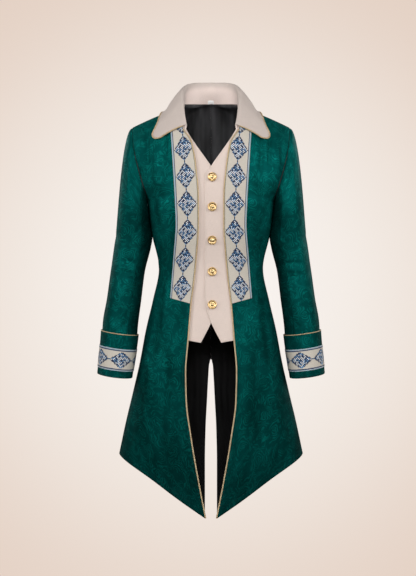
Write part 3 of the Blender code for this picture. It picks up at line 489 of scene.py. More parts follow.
# Shades of the cloth
STAND_PAINTED_LIGHT_EDGE = (0.038, 0.056)      # metres up from the collar's seam, where the stand turns into the leaf; below it the stand is painted a lighter cream, for light inside it
NECK_PAINTED_GLEAM = (-0.40, -0.12)       # heights between which the lining is painted lighter, for the light in the neck
PAINTED_SHEEN_STRETCH = (18.0, 8.0, 1.0)  # how often the streaks of painted sheen change across and along the cloth
HEM_SHADE_HEIGHT = -1.0           # painted shade: the brocade's colour darkens by height down the coat to this level, for light that weakens towards the hem
HEM_SHADE = 0.32
# Painted light: the label glows a little, to look brighter
LABEL_PAINTED_GLOW = 0.14
# Painted shade: the under sleeves get a darker copy of the brocade, for the shade between arm and body
BROCADE_PAINTED_SHADES = {"brocade": 1.0, "brocade_under_painted_shade": 0.62}
FINISH_NAMES = {
    "brocade": "brocade_cloth", "brocade_under_painted_shade": "brocade_painted_shade", "lining": "lining_satin",
    "cord": "cord_thread", "gold": "button_gold", "front_band": "front_band", "cuff_band": "cuff_band",
    "facing": "front_facing", "vest": "waistcoat_cream", "collar": "collar_cream", "band_back": "band_back",
    "label": "label_satin", "binding": "neck_binding",
}

# Studio. The camera looks level at the coat's front, from straight ahead.
CAMERA_PLACE = (-0.00795, -5.0, -0.477)
SENSOR_HEIGHT = 24.0
VIEW_HEIGHT = 576 * PIXEL         # at the coat
WALL_REACH = 9.0
FLOOR_HEIGHT = -2.7
COVE_BEND = 1.2
COVE_BEND_STEPS = 8
CEILING_HEIGHT = 7.0
COVE_SIDES = 96
BACKDROP_REACH = 2.63             # from the middle of the view to its corner, on the wall
AMBIENT = 0.10                    # how much light the backdrop gives, against how bright it looks
SKY_COLOUR = (1.0, 0.97, 0.94, 1.0)
# key or fill, x, y, z, width, height, aim_x, aim_y, aim_z, share of the power
LIGHTS = (
    ("key", 3.2, -2.0, 0.90, 1.5, 1.5, 0.0, 0.0, -0.40, 0.28),
    ("key", -3.2, -2.0, 0.90, 1.5, 1.5, 0.0, 0.0, -0.40, 0.28),
    ("key", 0.0, -4.4, 0.60, 2.0, 1.0, 0.0, 0.0, -0.35, 0.44),
    ("fill", 2.8, 2.6, 0.9, 1.2, 1.6, 0.0, 0.0, -0.45, 1.0),
    ("fill", -2.8, 2.6, 0.9, 1.2, 1.6, 0.0, 0.0, -0.45, 1.0),
)


def smooth_curve(table, column):
    """A smooth function through one column of a table, with no overshoot between its rows."""
    keys = np.array([row[0] for row in table], float)
    values = np.array([row[column] for row in table], float)
    steps = np.diff(keys)
    slopes = np.diff(values) / steps
    tangents = np.concatenate([slopes[:1], np.zeros(len(slopes) - 1), slopes[-1:]])
    for i in range(1, len(slopes)):
        if slopes[i - 1] * slopes[i] > 0:
            before = 2 * steps[i] + steps[i - 1]
            after = steps[i] + 2 * steps[i - 1]
            tangents[i] = (before + after) / (before / slopes[i - 1] + after / slopes[i])

    def value(key):
        key = np.clip(key, keys[0], keys[-1])
        i = np.clip(np.searchsorted(keys, key, side="right") - 1, 0, len(steps) - 1)
        t = (key - keys[i]) / steps[i]
        return (values[i] * (1 + 2 * t) * (1 - t) ** 2 + tangents[i] * steps[i] * t * (1 - t) ** 2
                + values[i + 1] * t * t * (3 - 2 * t) + tangents[i + 1] * steps[i] * t * t * (t - 1))

    return value


def unit(vectors):
    """The same vectors, each of length 1."""
    return vectors / np.maximum(np.linalg.norm(vectors, axis=-1, keepdims=True), 1e-12)


def distances(points):
    """The distance along a row of points from the first to each."""
    return np.concatenate([[0], np.cumsum(np.linalg.norm(np.diff(points, axis=0), axis=1))])


def ease(value, low, high):
    """0 below low, 1 above high, and smooth between."""
    share = np.clip((value - low) / (high - low), 0, 1)
    return share * share * (3 - 2 * share)


def paired(first, second):
    """Two arrays of places, spread over one grid, as one array of pairs."""
    return np.stack(np.broadcast_arrays(first, second), -1)


def mirror(points, side):
    """The same points or directions on one side of the body."""
    return points if side > 0 else points * (-1, 1, 1)


# The body's surface

def half_row(level):
    """Points of one row from the middle to the side seam, with the skirt's flutes."""
    centre_y, centre_z, side_x, side_y, side_z, wrap, oval = (curve(level) for curve in BODY_CURVES)
    angles = np.linspace(0.0, math.radians(90) * wrap, ROW_SAMPLES)
    across = np.sin(angles) ** (2 / oval)
    along = np.maximum(np.cos(angles), 0.0) ** (2 / oval)
    x = side_x * across / across[-1]
    y = side_y + (centre_y - side_y) * (along - along[-1]) / (1 - along[-1])
    sweep = CHEST_SWEEP if abs(level) < CHEST_LEVELS else 1.0
    z = centre_z + (side_z - centre_z) * (x / side_x) ** sweep
    points = np.stack([x, y, z], axis=1)
    depth = FLUTE_DEPTH * max(0.0, (abs(level) - FLUTE_FROM) / (LAST_LEVEL - FLUTE_FROM)) ** FLUTE_GROWTH
    if depth:
        run = distances(points)
        share = run / run[-1]
        wave = depth * np.sin(2 * math.pi * FLUTE_WAVES * share) * np.sin(math.pi * share)
        tangent = np.gradient(points[:, :2], axis=0)
        outward = unit(np.abs(tangent[:, ::-1])) * (1, math.copysign(1, -level))
        points[:, :2] += outward * wave[:, None]
    return points


def survey_body():
    """Points of the whole left half of the body on an even grid of levels and shares of the side's run."""
    grid = np.empty((len(LEVELS), len(SHARES), 3))
    sides = np.empty(len(LEVELS))
    for i, level in enumerate(LEVELS):
        half = half_row(level)
        half = np.vstack([half, half[-1] + unit(half[-1] - half[-2]) * PAST_SIDE])
        run = distances(half)
        sides[i] = run[-2]
        for axis in range(3):
            grid[i, :, axis] = np.interp(SHARES * sides[i], run, half[:, axis])
    return grid, sides


# Fine rows of the body, worked out once
LEVELS = np.linspace(-LAST_LEVEL, LAST_LEVEL, 1121)
SHARES = np.linspace(0, 1.04, 313)
BODY_CURVES = [smooth_curve(BODY, column) for column in range(1, 8)]
SLEEVE_CURVES = [smooth_curve([(-row[0],) + row[1:] for row in SLEEVE], column) for column in range(1, 5)]
COLLAR_CURVES = [smooth_curve(COLLAR, column) for column in range(1, 10)]
BODY_GRID, SIDE_RUNS = survey_body()
DOWN_RUNS = distances(BODY_GRID[:, len(SHARES) // 2])
DOWN_RUNS = np.abs(DOWN_RUNS - DOWN_RUNS[len(LEVELS) // 2])


def side_run(level):
    """The distance from the middle to the side seam or armhole."""
    return np.interp(level, LEVELS, SIDE_RUNS)


def down_run(level):
    """The distance down the cloth from the shoulder, halfway out to the side."""
    return np.interp(level, LEVELS, DOWN_RUNS)


def body_at(level, run):
    """Points of the body's left half at levels and runs, given as arrays."""
    level, run = np.broadcast_arrays(np.asarray(level, float), np.asarray(run, float))
    row = (np.clip(level, -LAST_LEVEL, LAST_LEVEL) + LAST_LEVEL) / (LEVELS[1] - LEVELS[0])
    column = np.abs(run) / side_run(level) / (SHARES[1] - SHARES[0])
    i = np.clip(row.astype(int), 0, len(LEVELS) - 2)
    j = np.clip(column.astype(int), 0, len(SHARES) - 2)
    u = (row - i)[..., None]
    v = (column - j)[..., None]
    points = ((BODY_GRID[i, j] * (1 - v) + BODY_GRID[i, j + 1] * v) * (1 - u)
              + (BODY_GRID[i + 1, j] * (1 - v) + BODY_GRID[i + 1, j + 1] * v) * u)
    points[..., 0] = points[..., 0] * np.where(run < 0, -1, 1)
    return points


def body_normal(level, run):
    """Directions straight out of the body's surface."""
    lower = np.minimum(level + LEVEL_STEP, LAST_LEVEL)
    upper = np.maximum(level - LEVEL_STEP, -LAST_LEVEL)
    across = body_at(level, run + RUN_STEP) - body_at(level, run - RUN_STEP)
    return unit(np.cross(body_at(lower, run) - body_at(upper, run), across))


# Edges of the panels, each as the run at which a level crosses it

def survey(first, last, find, places=None):
    """A function of the level between two levels: the run that find gives there from points and places."""
    levels = LEVELS[(LEVELS >= first) & (LEVELS <= last)]
    runs = []
    for level in levels:
        here = SHARES * side_run(level) if places is None else places
        runs.append(find(body_at(level, here), here))
    return lambda level: np.interp(level, levels, runs)


def crossing(table):
    """Finds where a row of points crosses an edge, given as a table of heights and x."""
    edge_at = smooth_curve(table, 1)

    def find(points, places):
        beyond = points[:, 0] - edge_at(points[:, 2])
        beyond[0] = min(beyond[0], -1e-9)
        k = np.nonzero((beyond[:-1] < 0) & (beyond[1:] >= 0))[0][0]
        return places[k] - beyond[k] * (places[k + 1] - places[k]) / (beyond[k + 1] - beyond[k])

    return find


def neck_crossing(points, places):
    """Finds where a row of points crosses the neck of the back, an oval in plan."""
    inside = (points[:, 0] / NECK_HALF_WIDTH) ** 2 + (points[:, 1] / NECK_DEPTH) ** 2 - 1
    return float(np.interp(0.0, inside, places))


FRONT_EDGE_RUN = survey(0, LAST_LEVEL, crossing(FRONT_EDGE))
RIBBON_EDGE_RUN = survey(0, 10, crossing(RIBBON_EDGE))
VENT_EDGE_RUN = survey(-LAST_LEVEL, NECK_BACK_LEVEL, crossing(VENT_EDGE))
BACK_NECK_RUN = survey(NECK_BACK_LEVEL, 0, neck_crossing)
# The waistcoat's runs go below 0 where its edge has crossed the middle of the body
VEST_EDGE_RUN = survey(0, VEST_BOTTOM_LEVEL + 0.05, crossing(VEST_EDGE), np.linspace(-0.04, 0.12, 321))


def back_edge_run(level):
    """The run of the back's inner edge: the neck, the centre seam, then the vent."""
    vent = VENT_EDGE_RUN(level)
    vent = np.where(vent < SEAM_ROOM, SEAM_CLOSE, np.maximum(vent, VENT_LEAST))
    return np.where(level > NECK_BACK_LEVEL, BACK_NECK_RUN(level), vent)


def neck_edge_run(level):
    """The run of the coat's neck edge, front or back."""
    return np.where(level > 0, FRONT_EDGE_RUN(level), BACK_NECK_RUN(level))


# Folds and creases

def crease(across, along, folds, side):
    """Height of the folds at places given by two distances. Each fold is a line that fades at both ends."""
    height = np.zeros_like(across)
    for fold_side, x0, z0, x1, z1, half_width, depth in folds:
        if fold_side not in (0, side):
            continue
        start = np.array((x0, z0)) * MM
        way = np.array((x1, z1)) * MM - start
        length = np.linalg.norm(way)
        way = way / length
        t = ((across - start[0]) * way[0] + (along - start[1]) * way[1]) / length
        off = ((across - start[0]) * -way[1] + (along - start[1]) * way[0]) / (half_width * MM)
        fade = np.clip(1 - (2 * t - 1) ** 4, 0, 1) ** 2
        height += depth * MM * (1 - 0.7 * off ** 2) * np.exp(-off ** 2) * fade
    return height


def armhole_dip(side_room, level):
    """Depth of the dip along the armhole, which fades out before the underarm."""
    fade = ease(UNDERARM_LEVEL - np.abs(level), 0, SHOULDER_FADE)
    return ARMHOLE_DIP * np.exp(-(side_room / ARMHOLE_DIP_WIDTH) ** 2) * fade


def front_relief(level, run, side):
    """Height of the front's folds, flat under the band, and its puckers along the tail's edge."""
    points = body_at(level, run)
    height = crease(points[..., 0], points[..., 2], FRONT_FOLDS, side)
    edge = FRONT_EDGE_RUN(level)
    ribbon = np.where(level < RIBBON_PAST, RIBBON_EDGE_RUN(np.minimum(level, RIBBON_PAST)), edge)
    side_room = side_run(level) - run
    height = height * ease(run, ribbon, ribbon + BAND_FADE) * ease(side_room, 0, SEAM_FADE)
    height = height - armhole_dip(side_room, level)
    down = down_run(level)
    (drift, drift_rate), (swell, swell_rate) = PUCKER_DRIFT, PUCKER_SWELL
    wave = np.sin(2 * math.pi * down / PUCKER_PITCH + drift * np.sin(down * drift_rate))
    wave = wave * (1 - swell + swell * np.sin(down * swell_rate))
    fade = np.exp(-np.maximum(run - edge, 0) / PUCKER_REACH)
    fade = fade * ease(PUCKER_TOP - points[..., 2], 0, PUCKER_FADE)
    return height * ease(level, 0, SHOULDER_FADE) + PUCKER_DEPTH * wave * fade


def back_relief(level, run, side):
    """Height of the back's folds, which fade at its seams."""
    points = body_at(level, run)
    height = crease(points[..., 0], points[..., 2], BACK_FOLDS, side)
    side_room = side_run(level) - run
    height = height * ease(run - back_edge_run(level), 0, BACK_FADE) * ease(side_room, 0, SEAM_FADE)
    return height * ease(-level, 0, SHOULDER_FADE) - armhole_dip(side_room, level)


def lining_relief(level, run, side):
    """Height of the lining's wrinkles: it hangs clear of the back wherever the back's folds stand in."""
    points = body_at(level, run)
    height = crease(points[..., 0], points[..., 2], LINING_FOLDS, side)
    height = height * ease(run - back_edge_run(level), 0, LINING_FADE) * ease(-level, 0.1, 1.0)
    return np.minimum(height, 0.0) * LINING_DEEPER + np.minimum(back_relief(level, run, side), 0.0)


def ribbon_relief(level, run, side):
    """The band follows the front under it, and bulges a little between its stitched edges."""
    width = RIBBON_EDGE_RUN(level) - FRONT_EDGE_RUN(level)
    share = (run - FRONT_EDGE_RUN(level)) / np.maximum(width, 1e-6)
    return front_relief(level, run, side) + BAND_BULGE * np.clip(share * (1 - share) * 4, 0, 1)


def vest_relief(level, run, side):
    """Slight fullness of the waistcoat between its buttons."""
    height = body_at(level, run)[..., 2]
    near = sum(np.exp(-((height - button) / VEST_EASE_HEIGHT) ** 2) for button in BUTTON_HEIGHTS)
    return -VEST_EASE * near * np.exp(-(run / VEST_EASE_WIDTH) ** 2)


def sleeve_relief(angle, place, height, side):
    """Height of a sleeve's creases, which only go inwards where it lies against the body."""
    turn = math.radians(1) * SLEEVE_RADIUS / MM
    folds = [(fold_side, a0 * turn, z0, a1 * turn, z1, half, depth)
             for fold_side, a0, z0, a1, z1, half, depth in SLEEVE_FOLDS]
    relief = crease(np.radians(angle) * SLEEVE_RADIUS, height, folds, side)
    inner = ease(np.abs(angle), *INNER_SLEEVE) * ease(height, *INNER_SLEEVE_HEIGHTS)
    relief = np.where(inner > 0, relief * (1 - inner) + np.minimum(relief, 0) * inner, relief)
    off_seam = 1 - np.exp(-((np.abs(angle) - SLEEVE_SEAM) / SLEEVE_DIP_WIDTH) ** 2)
    relief = relief - SLEEVE_DIP * (1 - off_seam)
    touch = np.exp(-((180 - np.abs(angle)) / TOUCH_WIDTH) ** 2)
    touch = touch * ease(-height, *TOUCH_TOP) * ease(height, *TOUCH_BOTTOM)
    relief = relief * off_seam * (1 - touch) + TOUCH_REACH * touch
    start = np.linalg.norm(sleeve_at(angle, place) - sleeve_at(angle, np.zeros_like(place)), axis=-1)
    dip = ARMHOLE_DIP * np.exp(-(start / ARMHOLE_DIP_WIDTH) ** 2)
    return relief - dip * (1 - ease(np.abs(angle), *SLEEVE_DIP_END))


def no_relief(angle, place, height, side):
    """A smooth sheet."""
    return np.zeros_like(angle)


# Sleeve and cuff surfaces

def armhole_path(last):
    """The armhole's line from the shoulder down to a level, and the share of the way of each point."""
    sides = np.array([[curve(level) for curve in BODY_CURVES[2:5]] for level in np.linspace(0, last, 121)])
    run = distances(sides)
    return run / run[-1], sides


ARMHOLE_FRONT = armhole_path(6)
ARMHOLE_BACK = armhole_path(-6)


def armhole_at(angle):
    """Points of the sleeve's start, by the angle round from the top, front first."""
    share = np.abs(angle) / 180
    front, back = (np.stack([np.interp(share, path[0], path[1][:, k]) for k in range(3)], axis=-1)
                   for path in (ARMHOLE_FRONT, ARMHOLE_BACK))
    points = np.where((angle >= 0)[..., None], front, back)
    points[..., 0] += ARMHOLE_CLEAR - ARMHOLE_SWING * np.cos(np.radians(angle))
    return points


def sleeve_ring(height, angle, clear=0.0):
    """Points of the sleeve's ovals at depths below the origin."""
    centre_x, centre_y, half_width, half_depth = (curve(height) for curve in SLEEVE_CURVES)
    turn = np.radians(angle)
    reach_x = (half_width + clear) * np.cos(turn)
    reach_y = (half_depth + clear) * np.sin(turn)
    share = (height + SLEEVE[0][0]) / (SLEEVE[0][0] - SLEEVE[-1][0])
    drop = np.tan(np.radians(WRIST_DROP * share))
    rise = reach_x * math.tan(math.radians(SLEEVE_TILT)) - reach_y * drop
    return np.stack([centre_x + reach_x, centre_y - reach_y, -height + rise], axis=-1)


def sleeve_at(angle, step):
    """Points of the sleeve: step 0 to 1 is its cap, then steps follow the rows of its table."""
    angle, step = np.broadcast_arrays((np.asarray(angle, float) + 180) % 360 - 180, np.asarray(step, float))
    heights = np.interp(step - 1, range(len(SLEEVE)), [-row[0] for row in SLEEVE])
    arm = sleeve_ring(heights, angle)
    start = armhole_at(angle)
    top = (1 + np.cos(np.radians(angle))) / 2
    lean = CAP_LEAN + (1 - CAP_LEAN) * (1 - top)
    leave = unit(np.stack([top, np.zeros_like(top), -lean], axis=-1))
    leave = leave * (CAP_REACH_TOP * top + CAP_REACH_UNDER * (1 - top))[..., None]
    first = np.full_like(angle, -SLEEVE[0][0])
    end = sleeve_ring(first, angle)
    arrive = unit(sleeve_ring(first + 0.004, angle) - end)
    arrive = arrive * (CAP_END_TOP * top + CAP_END_UNDER * (1 - top))[..., None]
    t = np.clip(step, 0, 1)[..., None]
    cap = (start * (1 + 2 * t) * (1 - t) ** 2 + leave * t * (1 - t) ** 2
           + end * t * t * (3 - 2 * t) + arrive * t * t * (t - 1))
    return np.where((step >= 1)[..., None], arm, cap)


def cuff_at(angle, down, out=0.0):
    """Points of the cuff, by the distance below its top."""
    clear = CUFF_CLEAR_TOP + (CUFF_CLEAR_BOTTOM - CUFF_CLEAR_TOP) * down / CUFF_LENGTH
    return sleeve_ring(-CUFF_TOP + down, angle, clear + out)


def surface_normals(surface, angle, place, place_step, lowest=-1e9, highest=1e9):
    """Outward normals of a surface given as a function of an angle and a place along it."""
    low = np.maximum(place - place_step, lowest)
    high = np.minimum(place + place_step, highest)
    down = surface(angle, high) - surface(angle, low)
    across = surface(angle + ANGLE_STEP, place) - surface(angle - ANGLE_STEP, place)
    return unit(np.cross(across, down))


# Collar surface

def coat_samples():
    """Points and normals of the coat around the collar, to keep the collar's leaf clear of it."""
    levels, runs = [], []
    for level in np.arange(-COAT_NEAR_LEVELS, COAT_NEAR_LEVELS + 0.01, COAT_LEVEL_STEP):
        for run in np.arange(float(neck_edge_run(level)), float(side_run(level)), COAT_RUN_STEP):
            levels.append(level)
            runs.append(run)
    levels, runs = np.array(levels), np.array(runs)
    return body_at(levels, runs), body_normal(levels, runs)


def collar_seam(level):
    """The foot of the collar's stand, just inside the coat's neck edge."""
    low, high = max(level - LEVEL_STEP / 2, NECK_BACK_LEVEL), level + LEVEL_STEP / 2
    edge = body_at(level, neck_edge_run(level))
    along = body_at(high, neck_edge_run(high)) - body_at(low, neck_edge_run(low))
    inward = unit(np.cross(along, body_normal(level, neck_edge_run(level))))
    return edge + inward * np.interp(level, *zip(*COLLAR_INSET))


def collar_section(station, coat):
    """Points of the collar's middle at one station: up the stand, over the fold, down the leaf."""
    values = [curve(station) for curve in COLLAR_CURVES]
    level = float(np.interp(station, [row[0] for row in COLLAR], [row[1] for row in COLLAR]))
    fold, edge = np.array(values[1:4]), np.array(values[4:7])
    roll, turn = values[7] * MM, math.radians(values[8])
    edge = edge + unit(fold - edge) * COLLAR_EDGE_ROOM
    seam = collar_seam(level)
    up = unit(fold - seam)
    out = edge - fold
    out = unit(out - up * np.dot(out, up))
    points = [seam, (seam + fold) / 2, fold]
    for step in range(1, ROLL_STEPS + 1):
        bend = turn * step / ROLL_STEPS
        points.append(fold + (out * (1 - math.cos(bend)) + up * math.sin(bend)) * roll)
    start = points[-1]
    leave = out * math.sin(turn) + up * math.cos(turn)
    guide = start + leave * LEAF_BEND * np.linalg.norm(edge - start)
    for share in LEAF_SHARES:
        points.append(start * (1 - share) ** 2 + guide * 2 * share * (1 - share) + edge * share ** 2)
    coat_points, coat_normals = coat
    for i in range(len(points) - len(LEAF_SHARES), len(points)):
        for _ in range(2):
            far = np.linalg.norm(coat_points - points[i], axis=1)
            near = far < far.min() + COAT_NEAR
            height = np.min(np.sum((points[i] - coat_points[near]) * coat_normals[near], axis=1))
            away = unit(coat_normals[near].sum(axis=0))
            points[i] = points[i] + away * max(0.0, COLLAR_LIFT - height)
    return points


def spline(points, factor, axis):
    """A grid of points with more between them along one axis, on natural cubic curves."""
    points = np.moveaxis(points, axis, 0)
    gaps = np.linalg.norm(np.diff(points, axis=0), axis=-1).reshape(len(points) - 1, -1).mean(axis=1)
    count = len(points)
    system = np.eye(count)
    right = np.zeros(points.shape)
    for i in range(1, count - 1):
        before, after = gaps[i - 1], gaps[i]
        system[i, i - 1:i + 2] = (before, 2 * (before + after), after)
        right[i] = 6 * ((points[i + 1] - points[i]) / after - (points[i] - points[i - 1]) / before)
    bends = np.linalg.solve(system, right.reshape(count, -1)).reshape(points.shape)
    rows = []
    for i in range(count - 1):
        gap = gaps[i]
        for step in range(factor):
            t = gap * step / factor
            a, b = points[i], points[i + 1]
            slope = (b - a) / gap - gap * (2 * bends[i] + bends[i + 1]) / 6
            twist = (bends[i + 1] - bends[i]) / gap
            rows.append(a + slope * t + bends[i] * t ** 2 / 2 + twist * t ** 3 / 6)
    rows.append(points[-1])
    return np.moveaxis(np.array(rows), 0, axis)


def grid_normals(grid):
    """Normals of a grid of points: the mean of the faces round each, by their size."""
    normals = np.zeros_like(grid)
    a, b, c, d = grid[:-1, :-1], grid[1:, :-1], grid[1:, 1:], grid[:-1, 1:]
    first = np.cross(b - a, c - a)
    second = np.cross(c - a, d - a)
    normals[:-1, :-1] += first + second
    normals[1:, :-1] += first
    normals[1:, 1:] += first + second
    normals[:-1, 1:] += second
    return unit(normals)


def collar_grid():
    """The collar's middle surface, right side first, fine enough to shade smoothly."""
    coat = coat_samples()
    left = np.array([collar_section(station, coat) for station in COLLAR_STATIONS])
    left[-1, :, 0] = 0.0
    right = left[:-1] * (-1, 1, 1)
    coarse = np.concatenate([right, left[::-1]])
    return spline(spline(coarse, COLLAR_FINE_ALONG, 0), COLLAR_FINE_ACROSS, 1)


# Mesh making

def rimmed(count, length):
    """Shares from 0 to 1 with a rim of fixed width at each end, where a wall's edge rounds off."""
    rim = RIM / length
    return np.concatenate([[0, rim], np.linspace(rim, 1 - rim, count - 2)[1:-1], [1 - rim, 1]])


def corners(grid, turned=False):
    """The four corners of each face between the points of a grid, in order round the face."""
    a, b, c, d = grid[:-1, :-1], grid[1:, :-1], grid[1:, 1:], grid[:-1, 1:]
    return np.stack((a, d, c, b) if turned else (a, b, c, d), 2).reshape(-1, 4, *grid.shape[2:])


def mesh_object(name, points, faces, places, materials, finishes=None, caps=()):
    """An object from arrays of points, four-sided faces and their UVs, and three-sided caps with none."""
    mesh = bpy.data.meshes.new(name)
    mesh.from_pydata(points.tolist(), [], faces.tolist() + [tuple(int(k) for k in cap) for cap in caps])
    layer = mesh.uv_layers.new(name=CLOTH_UV)
    places = np.concatenate([places.reshape(-1, 2), np.zeros((len(caps) * 3, 2))])
    layer.data.foreach_set("uv", np.ascontiguousarray(places, np.float32).ravel())
    for material in materials:
        mesh.materials.append(material)
    if finishes is not None:
        mesh.polygons.foreach_set("material_index", finishes.astype(np.int32))
    mesh.polygons.foreach_set("use_smooth", np.ones(len(mesh.polygons), bool))
    mesh.update()
    return linked(name, mesh)


def linked(name, data):
    """A new object in the scene."""
    made = bpy.data.objects.new(name, data)
    bpy.context.scene.collection.objects.link(made)
    return made


def wall_mesh(name, middle, normals, wall, uv, outer, inner, around=False):
    """A wall of cloth on a grid of points, its outer face along the normals and its edges rounded off.

    Around closes each row into a ring, and uv then has one more column than the rest. The cloth's place
    goes into the UV map, in metres.
    """
    rows, columns = middle.shape[:2]
    half = np.full((rows, columns, 1), wall / 2)
    half[[0, -1]] *= RIM_WALL
    if not around:
        half[1:-1, [0, -1]] *= RIM_WALL
    points = np.concatenate([(middle + normals * reach).reshape(-1, 3) for reach in (half, -half)])
    under = rows * columns
    index = np.arange(under).reshape(rows, columns)
    if around:
        index = np.concatenate([index, index[:, :1]], axis=1)
    faces = [corners(index), corners(index, turned=True) + under]
    places = [corners(uv), corners(uv, turned=True)]
    rims = [(index[0, :-1], index[0, 1:], uv[0, :-1], uv[0, 1:]),
            (index[-1, 1:], index[-1, :-1], uv[-1, 1:], uv[-1, :-1])]
    if not around:
        rims.append((index[1:, 0], index[:-1, 0], uv[1:, 0], uv[:-1, 0]))
        rims.append((index[:-1, -1], index[1:, -1], uv[:-1, -1], uv[1:, -1]))
    for first, second, first_uv, second_uv in rims:
        faces.append(np.stack([first, second, second + under, first + under], -1))
        places.append(np.stack([first_uv, second_uv, second_uv, first_uv], -2))
    finishes = np.concatenate([np.full(len(part), int(k == 1)) for k, part in enumerate(faces)])
    faces, places = np.concatenate(faces), np.concatenate(places)
    face_normal = np.cross(middle[1, 0] - middle[0, 0], middle[0, 1] - middle[0, 0])
    if np.dot(face_normal, normals[0, 0]) < 0:
        faces, places = faces[:, ::-1], places[:, ::-1]
    return mesh_object(name, points, faces, places, [outer, inner], finishes)


def rings_mesh(name, rings, lengths, material, ends=None):
    """An object from rings of points, which ends close with a point each, or else closes on itself.

    Lengths gives each ring's place along the object for the UV map, with one more where it closes.
    """
    count, sides = rings.shape[:2]
    index = np.arange(count * sides).reshape(count, sides)
    index = np.concatenate([index, index[:, :1]], axis=1)
    points, caps = rings.reshape(-1, 3), []
    if ends is None:
        index = np.concatenate([index, index[:1]])
    else:
        points = np.concatenate([points, ends])
        start, end = len(points) - 2, len(points) - 1
        caps = [(start, index[0, k + 1], index[0, k]) for k in range(sides)]
        caps += [(end, index[-1, k], index[-1, k + 1]) for k in range(sides)]
    uv = paired(np.arange(sides + 1)[None, :] / sides, lengths[:, None])
    faces, places = corners(index, turned=True), corners(uv, turned=True)
    return mesh_object(name, points, faces, places, [material], None, caps)


def cord_mesh(name, path, radius, closed=False):
    """A twisted cord along a path: its strands run round it once in each pitch."""
    pitch = bpy.context.scene.tailcoat_looks.cord_pitch
    step = pitch / CORD_STEPS
    path = even_path(path, step, closed)
    count = len(path)
    ways = np.roll(path, -1, axis=0) - np.roll(path, 1, axis=0) if closed else np.gradient(path, axis=0)
    tangents = unit(ways)
    side = unit(np.cross(tangents[0], CORD_START))
    sides = []
    for tangent in tangents:
        side = unit(side - tangent * np.dot(side, tangent))
        sides.append(side)
    sides = np.array(sides)
    others = np.cross(tangents, sides)
    if closed:
        turn = math.atan2(np.dot(sides[-1], others[0]), np.dot(sides[-1], sides[0]))
        back = -turn * np.arange(count)[:, None] / count
        cosine, sine = np.cos(back), np.sin(back)
        sides, others = sides * cosine + others * sine, others * cosine - sides * sine
    turns = max(1, round(count / CORD_STEPS))
    twist = 2 * math.pi * turns * np.arange(count) / (count if closed else count - 1)
    around = 2 * math.pi * np.arange(CORD_FINE_SIDES) / CORD_FINE_SIDES
    phase = CORD_STRANDS / 2 * (around[None, :] - twist[:, None])
    reach = radius * (1 - CORD_RELIEF + CORD_RELIEF * np.abs(np.sin(phase)) ** CORD_GROOVE)
    rings = (path[:, None] + sides[:, None] * (np.cos(around)[None, :] * reach)[..., None]
             + others[:, None] * (np.sin(around)[None, :] * reach)[..., None])
    lengths = np.arange(count + 1 if closed else count) * step
    return rings_mesh(name, rings, lengths, finish("cord"), None if closed else path[[0, -1]])


def even_path(path, step, closed=False):
    """The same path with points an even step apart, near enough to divide it evenly."""
    path = np.asarray(path, float)
    if closed:
        path = np.concatenate([path, path[:1]])
    run = distances(path)
    count = max(4, round(run[-1] / step))
    places = np.linspace(0, run[-1], count + 1)[:count if closed else count + 1]
    return np.stack([np.interp(places, run, path[:, k]) for k in range(3)], axis=1)


def beside(edge, normals, reach):
    """A path beside an edge, on the surface with these normals."""
    return edge + unit(np.cross(np.gradient(edge, axis=0), normals)) * reach


def settle(piece, slot, *nodes):
    """Puts a finished piece on the body, in place of the solids it stands for."""
    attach(piece, BODY_NAME)
    if nodes:
        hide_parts(*nodes)


def declare_sheet(middle, around=False):
    """Works out the size of a piece's flat cut on its middle surface, and keeps nothing of it."""
    grid = np.concatenate([middle, middle[:, :1]], axis=1) if around else middle
    width = np.linalg.norm(np.diff(grid, axis=1), axis=-1).sum(axis=1).max()
    length = np.linalg.norm(np.diff(grid, axis=0), axis=-1).sum(axis=0).max()


def cloth(name, middle, normals, wall, uv, looks, slot, nodes, around=False):
    """A sheet of cloth with its outer and inner finish, settled on the body."""
    piece = wall_mesh(name, middle, normals, wall, uv, finish(looks[0]), finish(looks[1]), around)
    settle(piece, slot, *nodes)
    declare_sheet(middle, around)


# Shader making

